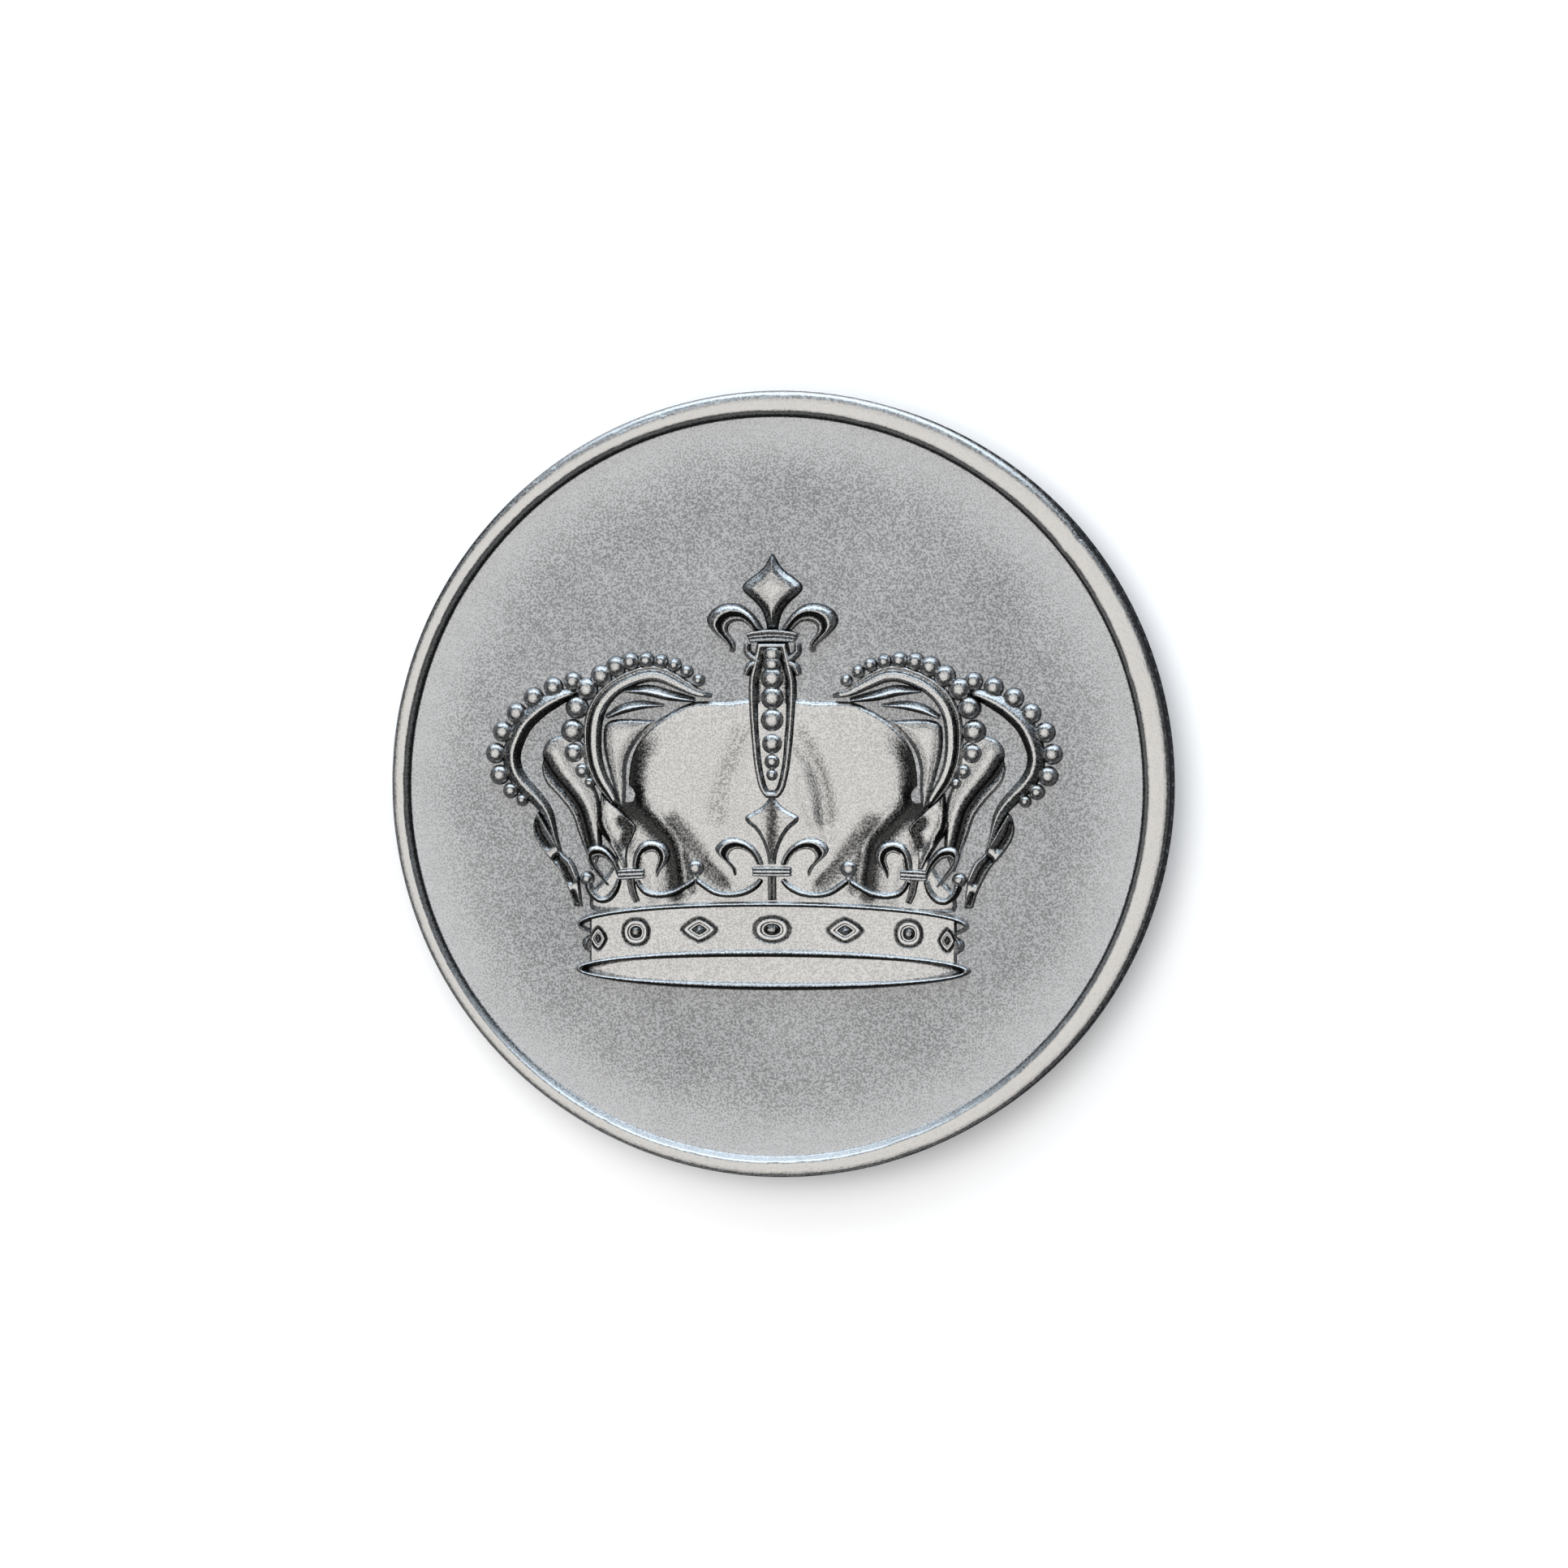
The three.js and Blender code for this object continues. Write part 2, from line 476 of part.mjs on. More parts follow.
for (const [word, side] of SIDES) {
  lay(`drape_${word}`, plate(strip(DRAPE_OUTER, DRAPE_INNER, side, EDGE_STEPS), DRAPE_RISE), SOFT);
  lay(`slat_upper_${word}`, plate(ribbon(UPPER_SLAT, side, SWAG_STEPS), DRAPE_RISE), BRIGHT);
  lay(`slat_lower_${word}`, plate(ribbon(LOWER_SLAT, side, SWAG_STEPS), DRAPE_RISE), BRIGHT);
  lay(`cap_lobe_${word}`, plate(strip(LOBE_OUTER, LOBE_INNER, side, EDGE_STEPS), LOBE_RISE), SOFT);
}
lay('cap', cushion(capShape(), CAP_RISE, CAP_SLOPE), SOFT);
for (const [word, side] of SIDES) {
  const leaf = strip(SIDE_LEAF_OUTER, SIDE_LEAF_INNER, side, EDGE_STEPS);
  lay(`side_leaf_${word}`, plate(leaf, LEAF_RISE), BRIGHT);
}
for (const [word, side] of SIDES) {
  lay(`arch_outer_${word}`, archSolid(OUTER_ARCH, OUTER_PEARLS, side), BRIGHT);
  lay(`arch_middle_${word}`, archSolid(MIDDLE_ARCH, MIDDLE_PEARLS, side), BRIGHT);
}
lay('arch_centre', centreArchSolid(), BRIGHT);

for (const [word, side] of SIDES) {
  const leaves = joined([
    plate(ribbon(SHOULDER_LEAF, side, SWAG_STEPS), FLEUR_RISE),
    plate(ribbon(SHOULDER_FOOT, side, SWAG_STEPS), FLEUR_RISE),
  ]);
  lay(`shoulder_leaf_${word}`, leaves, BRIGHT);
}
lay('finial_bud', plate(strip(FINIAL_BUD, mirrored(FINIAL_BUD), LEFT, EDGE_STEPS), FLEUR_RISE), BRIGHT);
lay('centre_bud', plate(strip(CENTRE_BUD, mirrored(CENTRE_BUD), LEFT, EDGE_STEPS), FLEUR_RISE), BRIGHT);
for (const [word, side] of SIDES) {
  const finialPetal = strip(FINIAL_PETAL_OUTER, FINIAL_PETAL_INNER, side, EDGE_STEPS);
  const centrePetal = strip(CENTRE_PETAL_OUTER, CENTRE_PETAL_INNER, side, EDGE_STEPS);
  const nearPetal = strip(NEAR_PETAL_OUTER, NEAR_PETAL_INNER, side, EDGE_STEPS);
  const farPetal = strip(FAR_PETAL_OUTER, FAR_PETAL_INNER, side, EDGE_STEPS);
  const bud = strip(SIDE_BUD_OUTER, SIDE_BUD_INNER, side, EDGE_STEPS);
  lay(`finial_petal_${word}`, plate(finialPetal, FLEUR_RISE), BRIGHT);
  lay(`centre_petal_${word}`, plate(centrePetal, FLEUR_RISE), BRIGHT);
  lay(`fleur_bud_${word}`, plate(bud, FLEUR_RISE), BRIGHT);
  lay(`fleur_petal_near_${word}`, plate(nearPetal, FLEUR_RISE), BRIGHT);
  lay(`fleur_petal_far_${word}`, plate(farPetal, FLEUR_RISE), BRIGHT);
  lay(`swag_inner_${word}`, plate(ribbon(INNER_SWAG, side, SWAG_STEPS), RAIL_RISE), BRIGHT);
  lay(`swag_outer_${word}`, plate(ribbon(OUTER_SWAG, side, SWAG_STEPS), RAIL_RISE), BRIGHT);
  lay(`swag_end_${word}`, plate(ribbon(END_SWAG, side, SWAG_STEPS), RAIL_RISE), BRIGHT);
  lay(`crest_pearl_${word}`, pearl(CREST_PEARL, side), BRIGHT);
  lay(`end_pearl_${word}`, pearl(END_PEARL, side), BRIGHT);
}
const finialCollar = strip(FINIAL_COLLAR_TOP, FINIAL_COLLAR_FOOT, LEFT, SWAG_STEPS);
lay('finial_collar', plate(finialCollar, COLLAR_RISE), BRIGHT);
lay('centre_collar', joined([
  plate(collarShape(CENTRE_COLLAR, LEFT), COLLAR_RISE),
  plate(ribbon(CENTRE_STEM, LEFT, 1), RAIL_RISE),
]), BRIGHT);
for (const [word, side] of SIDES) {
  lay(`fleur_collar_${word}`, joined([
    plate(collarShape(SIDE_COLLAR, side), COLLAR_RISE),
    plate(ribbon(SIDE_STEM, side, SWAG_STEPS), RAIL_RISE),
  ]), BRIGHT);
}

lay('circlet_band', plate(bandShape(), BAND_RISE), SOFT);
lay('ring_floor', plate(ringFloorShape(), LOBE_RISE), SOFT);
lay('jewel_centre', plate(
  ellipseShape(0, CENTRE_JEWEL.y, CENTRE_JEWEL.halfWidth, CENTRE_JEWEL.halfHeight, JEWEL_STEPS),
  BAND_RISE + JEWEL_PROUD,
), BRIGHT);
for (const [word, side] of SIDES) {
  const lozenge = LOZENGE_JEWEL;
  const round = ROUND_JEWEL;
  const small = SMALL_JEWEL;
  const rise = BAND_RISE + JEWEL_PROUD;
  lay(`jewel_lozenge_${word}`, plate(
    lozengeShape(lozenge.x, lozenge.y, lozenge.halfWidth, lozenge.halfHeight, side),
    rise,
  ), BRIGHT);
  lay(`jewel_round_${word}`, plate(
    ellipseShape(round.x, round.y, round.radius, round.radius, JEWEL_STEPS, side),
    rise,
  ), BRIGHT);
  lay(`jewel_small_${word}`, plate(
    lozengeShape(small.x, small.y, small.halfWidth, small.halfHeight, side),
    rise,
  ), BRIGHT);
  lay(`edge_stud_${word}`, plate(
    new THREE.Shape(EDGE_STUD.map((place) => point(place, side))),
    rise,
  ), BRIGHT);
}
lay('moulding_top', plate(topMouldingShape(), BAND_RISE + MOULDING_PROUD), BRIGHT);
lay('base_ring', plate(baseRingShape(), BAND_RISE + MOULDING_PROUD), BRIGHT);

// ------------------------------------------------------------------------------------ the whole token

const FINISHES = {
  blank: { color: 0xa9a6a8, roughness: 0.5, metalness: 1.0 },
  soft: { color: 0xc4c1bf, roughness: 0.45, metalness: 1.0 },
  bright: { color: 0xcfccc9, roughness: 0.35, metalness: 1.0 },
};

function namedMesh(name, solid, finish) {
  const mesh = new THREE.Mesh(toGeometry(solid), new THREE.MeshStandardMaterial(FINISHES[finish]));
  mesh.name = name;
  return mesh;
}

const crown = new THREE.Group();
crown.position.set(STRIKE_SHIFT_X + CROWN_SHIFT_X, STRIKE_SHIFT_Y, 0);
for (const { name, solid, finish } of pieces) crown.add(namedMesh(name, solid, finish));

const token = new THREE.Group();
token.add(namedMesh('token_blank', blank, 'blank'), crown);
export default token;
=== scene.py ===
import math

import bmesh
import bpy
import numpy as np
from mathutils import Matrix, Vector


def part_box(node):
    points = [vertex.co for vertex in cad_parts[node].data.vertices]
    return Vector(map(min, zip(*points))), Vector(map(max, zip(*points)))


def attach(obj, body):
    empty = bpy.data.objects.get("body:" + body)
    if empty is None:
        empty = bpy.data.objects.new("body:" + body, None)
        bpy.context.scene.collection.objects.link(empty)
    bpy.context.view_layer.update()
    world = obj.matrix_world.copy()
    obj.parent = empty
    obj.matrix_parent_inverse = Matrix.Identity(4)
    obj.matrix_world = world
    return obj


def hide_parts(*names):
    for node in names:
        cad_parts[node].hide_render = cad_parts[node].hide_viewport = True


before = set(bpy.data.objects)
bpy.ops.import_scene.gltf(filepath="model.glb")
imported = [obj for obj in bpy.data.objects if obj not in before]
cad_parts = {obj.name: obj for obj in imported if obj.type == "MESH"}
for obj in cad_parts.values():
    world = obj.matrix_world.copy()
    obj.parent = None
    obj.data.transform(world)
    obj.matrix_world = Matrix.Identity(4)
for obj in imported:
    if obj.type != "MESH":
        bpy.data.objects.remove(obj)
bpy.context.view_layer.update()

# ------------------------------------------ blank
# The blank is a disc of nickel silver, upset so that each face has a raised rim, and reeded on its side
# by the collar that held it in the press. Each die left a sunk field inside the rim, dished a little
# where it meets the wall, and frosted all over by the sand-blasted face of the die.
blank_low, blank_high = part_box("token_blank")
FIELD_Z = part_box("cap")[0].z
RADIUS = (blank_high.x - blank_low.x) / 2
THICK = blank_high.z - blank_low.z
SUNK = blank_high.z - FIELD_Z
STRIKE_OFF_CENTRE = (-0.00015, -0.000087)
REEDS = 148
REED_DEPTH = 0.00009
STEPS_ROUND = REEDS * 10
NICKS = 70
NICK_DEPTH = 0.00004
WANDER = 0.000004
# radii in metres, from the middle outwards
DISH_START = 0.0094
WANDER_START = 0.0117
WALL_FOOT = 0.01175
FIELD_EDGE = 0.01176
WALL_TOP = 0.01191
# the painted shade on the rim's outer corner starts at this radius
CORNER_SHADE_START = 0.0122
WEAR_START = 0.01235
# how deep the worn corner goes, in metres
WEAR_DEPTH = 0.00018
# the reeded side starts this far in from the outline, and this far from each face
SIDE_REACH = 0.00012
SIDE_START = 0.00013

DRAWN_RADIUS = 12.5
# (radius in mm, share of the field's depth that it stands up, share of the way to the die's own centre)
FACE_PROFILE = [
    (0.0, 0.0, 1), (4.8, 0.0, 1), (7.2, 0.0, 1), (9.4, 0.0, 1), (10.1, 0.012, 1),
    (10.7, 0.03, 1), (11.15, 0.052, 1), (11.48, 0.07, 1), (11.67, 0.082, 1), (11.735, 0.088, 1),
    (11.76, 0.1, 1), (11.777, 0.14, 1), (11.793, 0.23, 1), (11.812, 0.37, 1), (11.834, 0.52, 1),
    (11.857, 0.66, 1), (11.882, 0.78, 1), (11.908, 0.87, 1), (11.936, 0.935, 1), (11.965, 0.972, 0.95),
    (12.0, 0.993, 0.85), (12.05, 1.0, 0.7), (12.16, 1.0, 0.35), (12.27, 0.997, 0.1),
]
# (how far in from the side, how far down from the rim, both in mm)
CORNER_PROFILE = [
    (0.11, 0.003), (0.08, 0.014), (0.052, 0.034), (0.028, 0.065), (0.011, 0.11), (0.002, 0.17),
]
# how far down from the rim the side has rings, and where its reeds fade in, in mm
SIDE_DROPS = [0.23, 0.29, 0.36, 0.5]
REEDS_START = 0.19
REEDS_FADE = 0.14


def ease(t):
    """Eases from 0 to 1 as t does."""
    t = np.clip(t, 0, 1)
    return t * t * (3 - 2 * t)


def frosted_metal(name, light, dark, roughness, grain, bump, blotch=0.06, wall=0.0):
    """Struck metal with a sand-blasted grain. Its shading attribute is painted shade above 0, which darkens
    the metal, and a painted highlight below 0, which lightens it. Where wall is above 0, the painted shade
    also lowers the roughness."""
    metal = bpy.data.materials.new(name)
    metal.use_nodes = True
    nodes, links = metal.node_tree.nodes, metal.node_tree.links
    shader = nodes["Principled BSDF"]
    shader.inputs["Metallic"].default_value = 1.0
    at = nodes.new("ShaderNodeTexCoord").outputs["Object"]

    def noise(scale, detail=2.0):
        made = nodes.new("ShaderNodeTexNoise")
        made.inputs["Scale"].default_value = scale
        made.inputs["Detail"].default_value = detail
        links.new(at, made.inputs["Vector"])
        return made.outputs["Fac"]

    def spread(value, low, high, to_low, to_high):
        made = nodes.new("ShaderNodeMapRange")
        for socket, number in zip(made.inputs[1:5], (low, high, to_low, to_high)):
            socket.default_value = number
        links.new(value, made.inputs["Value"])
        return made.outputs["Result"]

    def blend(share, a, b):
        made = nodes.new("ShaderNodeMix")
        made.data_type = "RGBA"
        links.new(share, made.inputs["Factor"])
        for socket, value in ((made.inputs[6], a), (made.inputs[7], b)):
            if isinstance(value, tuple):
                socket.default_value = (*value, 1)
            else:
                links.new(value, socket)
        return made.outputs[2]

    def combine(kind, a, b):
        made = nodes.new("ShaderNodeMath")
        made.operation = kind
        for socket, value in zip(made.inputs, (a, b)):
            if isinstance(value, float):
                socket.default_value = value
            else:
                links.new(value, socket)
        return made.outputs[0]

    fine = noise(16500, 1.0)
    coarse = noise(5200, 3.0)
    grit = combine("ADD", combine("MULTIPLY", fine, 0.92), combine("MULTIPLY", coarse, 0.08))
    blotches = spread(noise(420, 4.0), 0.3, 0.7, 0.5 - blotch * 4, 0.5 + blotch * 4)
    shade = spread(grit, 0.5 - 0.5 / grain, 0.5 + 0.5 / grain, 0.0, 1.0)
    painted_light = nodes.new("ShaderNodeAttribute")
    painted_light.attribute_name = "painted_light"
    mottled = combine("ADD", combine("MULTIPLY", shade, 0.8), combine("MULTIPLY", blotches, 0.2))
    # painted shade lowers the grain's brightness where the attribute is above 0, and a painted highlight
    # raises it where below 0
    mottled = combine("SUBTRACT", mottled, painted_light.outputs["Fac"])
    stipple = spread(grit, 0.4, 0.6, 0.0, 0.6)
    # painted shade also blends the metal towards a near-black shade colour, stippled by the grain
    painted_shading = combine("SUBTRACT", combine("MULTIPLY", painted_light.outputs["Fac"], 1.6), stipple)
    shade_dark = tuple(channel * 0.1 for channel in dark)
    links.new(blend(painted_shading, blend(mottled, dark, light), shade_dark), shader.inputs["Base Color"])
    rough = spread(grit, 0.35, 0.65, roughness - 0.06, roughness + 0.08)
    less_rough = combine("MULTIPLY", painted_light.outputs["Fac"], wall)
    links.new(combine("SUBTRACT", rough, less_rough), shader.inputs["Roughness"])
    pits = nodes.new("ShaderNodeBump")
    pits.inputs["Strength"].default_value = bump
    pits.inputs["Distance"].default_value = 0.000014
    links.new(grit, pits.inputs["Height"])
    links.new(pits.outputs["Normal"], shader.inputs["Normal"])
    return metal


def closed_mesh(name, bodies):
    """A mesh of closed bodies. Each is rows of (x, y, z, painted shade or highlight) and how the rows close:
    "sheet" has a border that drops to a flat underside, "dome" has rows that are rings round a middle,
    closed below unless its underside is None, and "ring" has rings whose last joins the first."""
    places, faces = [], []
    for rows, form, underside in bodies:
        count, wide = rows.shape[:2]
        start = len(places)
        ids = start + np.arange(count * wide).reshape(count, wide)
        places.extend(rows.reshape(-1, 4))
        if form != "sheet":
            ids = np.column_stack([ids, ids[:, 0]])
        if form == "ring":
            ids = np.vstack([ids, ids[:1]])
        net = np.stack([ids[:-1, :-1], ids[1:, :-1], ids[1:, 1:], ids[:-1, 1:]], -1)
        faces.extend(net.reshape(-1, 4).tolist())
        if form == "dome" and underside is not None:
            faces.append(ids[-1, :-1][::-1].tolist())
        if form == "sheet":
            border = np.concatenate([ids[0, :-1], ids[:-1, -1], ids[-1, :0:-1], ids[:0:-1, 0]])
            low = len(places) + np.arange(len(border))
            for place in np.array(places)[border]:
                places.append(np.array([place[0], place[1], underside, place[3]]))
            turned, dropped = np.roll(border, -1), np.roll(low, -1)
            faces.extend(np.stack([border, turned, dropped, low], -1).tolist())
            faces.append(low[::-1].tolist())
    places = np.array(places)
    mesh = bpy.data.meshes.new(name)
    mesh.from_pydata(places[:, :3].tolist(), [], faces)
    # the fourth value of each place is stored as painted shade, or as a painted highlight where it is below 0
    painted_light = mesh.attributes.new("painted_light", "FLOAT", "POINT")
    painted_light.data.foreach_set("value", np.ascontiguousarray(places[:, 3], dtype=np.float32))
    work = bmesh.new()
    work.from_mesh(mesh)
    bmesh.ops.remove_doubles(work, verts=work.verts, dist=1e-8)
    bmesh.ops.recalc_face_normals(work, faces=work.faces)
    work.to_mesh(mesh)
    work.free()
    mesh.shade_smooth()
    return mesh


def blank_rings():
    """The blank's profile from the middle of one face to the middle of the other, as rings."""
    face = [(r / DRAWN_RADIUS * RADIUS, share, shift) for r, share, shift in FACE_PROFILE]
    front = [(r, FIELD_Z + share * SUNK, shift, 0.0) for r, share, shift in face]
    side = [(RADIUS - inward / 1000, THICK - down / 1000, 0.0, 0.0)
            for inward, down in CORNER_PROFILE]
    side += [(RADIUS, THICK - down / 1000, 0.0, float(ease((down - REEDS_START) / REEDS_FADE)))
             for down in SIDE_DROPS]
    half = front + side
    other = [(r, THICK - z, shift, reed) for r, z, shift, reed in half]
    return half + [(RADIUS, THICK / 2, 0.0, 1.0)] + other[::-1]


chance = np.random.default_rng(148)
angle = np.linspace(0, 2 * math.pi, STEPS_ROUND, endpoint=False)
groove = (0.5 + 0.5 * np.cos(REEDS * angle)) ** 2.2
worn = 1.1 * ease(np.sin(angle)) + 0.2 * ease(np.cos(angle))
# the top of the rim, which faces the window light, where the painted shade on the corner is left off
lit_top = ease((np.sin(angle) - 0.6) / 0.3)
wander = sum(chance.normal(0, 1) * np.sin(k * angle + chance.uniform(0, 6.3)) / k for k in range(3, 40))
nicks = np.zeros(STEPS_ROUND)
for _ in range(NICKS):
    width = chance.uniform(0.004, 0.02)
    gap = np.angle(np.exp(1j * (angle - chance.uniform(0, 2 * math.pi))))
    nicks += chance.uniform(0.1, 0.6) * np.exp(-((gap / width) ** 2))
rings = []
for radius, height, shift, reed in blank_rings():
    corner = math.exp(-(((THICK - height) / 0.00006 - 0.8) ** 2)) if height > THICK / 2 else 0.0
    out = radius - REED_DEPTH * reed * groove - NICK_DEPTH * corner * nicks
    out = out + WANDER * wander * (radius > WANDER_START)
    if radius > WEAR_START and height > THICK - WEAR_DEPTH:
        out = out - (RADIUS - radius) * worn
    middle = np.array(STRIKE_OFF_CENTRE) * shift
    down = min(THICK - height, height)
    # painted shade on the rim's outer corner, left off at the top, and on the reeded side, darker in the reed
    # grooves
    corner_shade = ease((down - 0.00002) / 0.00003) * (1 - reed) if radius > CORNER_SHADE_START else 0.0
    painted_shading = 0.92 * corner_shade * (1 - lit_top) + reed * (0.1 + 0.6 * groove)
    # painted shade on the wall inside the rim, left off at the bottom, where the wall faces the window light
    wall = ease((radius - WALL_FOOT) / 0.00003) * ease((WALL_TOP - radius) / 0.00012)
    painted_shading = painted_shading + wall * (1 - 0.95 * np.clip(-np.sin(angle), 0, 1) ** 3)
    # painted sheen: the dished field is painted lighter towards the rim
    painted_shading = painted_shading - 0.42 * ease((radius - DISH_START) / 0.0024) * (radius < FIELD_EDGE)
    rings.append(np.column_stack([
        middle[0] + out * np.cos(angle),
        middle[1] + out * np.sin(angle),
        np.full(STEPS_ROUND, height),
        painted_shading,
    ]))
blank_mesh = closed_mesh("struck_blank", [(np.array(rings), "dome", None)])
blank = bpy.data.objects.new("struck_blank", blank_mesh)
bpy.context.scene.collection.objects.link(blank)
for metal in (
    frosted_metal("rim_frost", (0.95, 0.935, 0.91), (0.68, 0.665, 0.645), 0.36, 4.5, 0.5),
    frosted_metal("field_frost", (0.985, 0.99, 1.0), (0.27, 0.272, 0.285), 0.44, 4.6, 1.0, blotch=0.09),
    frosted_metal("reeded_side", (0.7, 0.72, 0.75), (0.42, 0.43, 0.45), 0.26, 1.6, 0.2, wall=0.06),
):
    blank_mesh.materials.append(metal)
for face in blank_mesh.polygons:
    out = math.hypot(face.center.x - STRIKE_OFF_CENTRE[0], face.center.y - STRIKE_OFF_CENTRE[1])
    on_side = math.hypot(face.center.x, face.center.y) > RADIUS - SIDE_REACH
    on_side = on_side and abs(face.center.z - THICK / 2) < THICK / 2 - SIDE_START
    face.material_index = 2 if on_side else int(out < FIELD_EDGE)
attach(blank, "root")
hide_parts("token_blank")

# ----------------------------------------- drapes
# Folds of the cap's cloth that hang in the openings of the outer arches, the lowest layer of the
# crown. Like all of the crown they are solid metal, pushed up into the hollows of the die as it struck.
RING_HALF_WIDTH = 6.1
FINIAL_TOP = 7.31
ring_low, ring_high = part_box("ring_floor")
MM = (ring_high.x - ring_low.x) / (2 * RING_HALF_WIDTH)
CROWN_X = (ring_low.x + ring_high.x) / 2
CROWN_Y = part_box("finial_bud")[1].y - FINIAL_TOP * MM
# how deep the foot and the underside of each piece lie in the field, in mm
FOOT = -0.03
UNDERSIDE = 1.2 * FOOT

soft_frost = frosted_metal("cloth_frost", (1.0, 0.99, 0.975), (0.46, 0.455, 0.447), 0.33, 4.6, 0.8)
bright_frost = frosted_metal("relief_frost", (0.96, 0.952, 0.94), (0.42, 0.416, 0.41), 0.31, 4.2, 0.6)


def smooth(points, count):
    """Evenly spaced places on a smooth line through a few drawn points."""
    p = np.array(points, float)
    p = np.vstack([2 * p[0] - p[1], p, 2 * p[-1] - p[-2]])
    t = np.linspace(0, 1, 24, endpoint=False)[:, None]
    runs = [b + 0.5 * t * (c - a + t * (2 * a - 5 * b + 4 * c - d + t * (3 * (b - c) + d - a)))
            for a, b, c, d in zip(p, p[1:], p[2:], p[3:])]
    line = np.vstack([*runs, p[-2:-1]])
    run = np.r_[0, np.cumsum(np.linalg.norm(np.diff(line[:, :2], axis=0), axis=1))]
    at = np.linspace(0, run[-1], count)
    return np.column_stack([np.interp(at, run, column) for column in line.T])


def across_steps(count):
    """Steps from 0 to 1, closer together near both ends."""
    even = np.linspace(0, 1, count)
    return 0.4 * even + 0.3 * (1 - np.cos(math.pi * even))


def span(edge_a, edge_b, along, across):
    """A net of places that runs from one drawn edge to the other."""
    share = across_steps(across)[:, None]
    return smooth(edge_a, along)[:, None] * (1 - share) + smooth(edge_b, along)[:, None] * share


def distance(places, line):
    """How far each place lies from a line of straight runs."""
    a, run = line[:-1], np.diff(line, axis=0)
    flat = places.reshape(-1, 2)
    best = np.full(len(flat), 1e9)
    for start, step in zip(a, run):
        t = np.clip(((flat - start) @ step) / max(step @ step, 1e-12), 0, 1)
        best = np.minimum(best, np.hypot(*(flat - start - t[:, None] * step).T))
    return best.reshape(places.shape[:-1])


def outline(net):
    """The closed border of a net."""
    return np.vstack([net[0], net[1:, -1], net[-1, -2::-1], net[-2::-1, 0]])


def ridge(places, line, width):
    """1 on a drawn line, falling away to nothing over its width."""
    return np.exp(-((distance(places, smooth(line, 40)) / width) ** 2))


def heaped(net, height, painted_light=0.0, form="sheet"):
    """A body from a net, its heights in mm above the field, and its painted shade or highlight."""
    shape = net.shape[:2]
    return np.dstack([net, np.broadcast_to(height, shape), np.broadcast_to(painted_light, shape)]), form


def raise_relief(name, bodies, node, side=1, soft=False):
    """Puts a piece of relief, drawn in mm for the crown's left, in place on the field."""
    metal, slot = (soft_frost, "relief_matte") if soft else (bright_frost, "relief_bright")
    placed = []
    for rows, form in bodies:
        rows = rows.astype(float).copy()
        rows[..., 0] = CROWN_X + side * rows[..., 0] * MM
        rows[..., 1] = CROWN_Y + rows[..., 1] * MM
        rows[..., 2] = FIELD_Z + rows[..., 2] * MM
        placed.append((rows, form, FIELD_Z + UNDERSIDE * MM))
    made = bpy.data.objects.new(name, closed_mesh(name, placed))
    bpy.context.scene.collection.objects.link(made)
    made.data.materials.append(metal)
    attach(made, "root")
    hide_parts(node)


def raise_pair(name, bodies, node, soft=False):
    """Raises a piece on the crown's left, and its mirror image on the right."""
    for word, side in (("left", 1), ("right", -1)):
        raise_relief(f"{name}_{word}", bodies, f"{node}_{word}", side, soft)


DRAPE_OUTER = [
    (-6.8, 1.58), (-7.2, 1.42), (-7.45, 1.0), (-7.5, 0.5), (-7.35, 0.0), (-6.9, -0.5), (-6.52, -1.0),
    (-6.3, -1.6), (-6.08, -2.2), (-5.87, -2.82),
]
DRAPE_INNER = [
    (-6.3, 1.5), (-6.0, 1.2), (-5.95, 0.8), (-5.85, 0.3), (-5.7, -0.1), (-5.55, -0.5), (-5.5, -1.0),
    (-5.5, -1.6), (-5.5, -2.2), (-5.7, -2.8),
]
DRAPE_FOLD = [
    (-7.38, 0.75), (-7.1, 0.3), (-6.8, -0.05), (-6.5, -0.4), (-6.2, -0.85), (-6.05, -1.3), (-5.95, -1.7),
    (-5.8, -2.3),
]
DRAPE_SWELL = [(-7.0, 1.0), (-6.75, 0.5), (-6.4, 0.0), (-6.05, -0.5), (-5.85, -1.1), (-5.7, -1.8)]
net = span(DRAPE_OUTER, DRAPE_INNER, 90, 44)
inside = distance(net, outline(net))
fold = ridge(net, DRAPE_FOLD, 0.15)
height = FOOT + (0.1 - FOOT) * ease(inside / 0.13) + 0.08 * ridge(net, DRAPE_SWELL, 0.34) - 0.1 * fold
# painted shade in the fold's valley and round the drape's foot
tone = fold + 0.7 * ease((0.07 - inside) / 0.05)
raise_pair("drape_fold", [heaped(net, height, tone)], "drape", soft=True)

# ------------------------------------------ slats
# Two thin slats of the crown's frame show between each middle arch and the cap. Each is cut in the
# die as a bar that leans, so that its upper face takes the light and its lower side drops straight.
UPPER_SLAT = [(-2.5, 2.66, 0.1), (-3.3, 2.8, 0.19), (-4.0, 2.96, 0.2), (-4.75, 2.96, 0.08)]
LOWER_SLAT = [(-3.5, 2.5, 0.06), (-4.2, 2.5, 0.16), (-4.8, 2.38, 0.18), (-5.35, 2.12, 0.09)]
SLAT_SECTION = ((0, 0.1, 0.6, 0.7, 0.8, 1), (FOOT, 0.05, 0.22, 0.23, 0.1, FOOT))


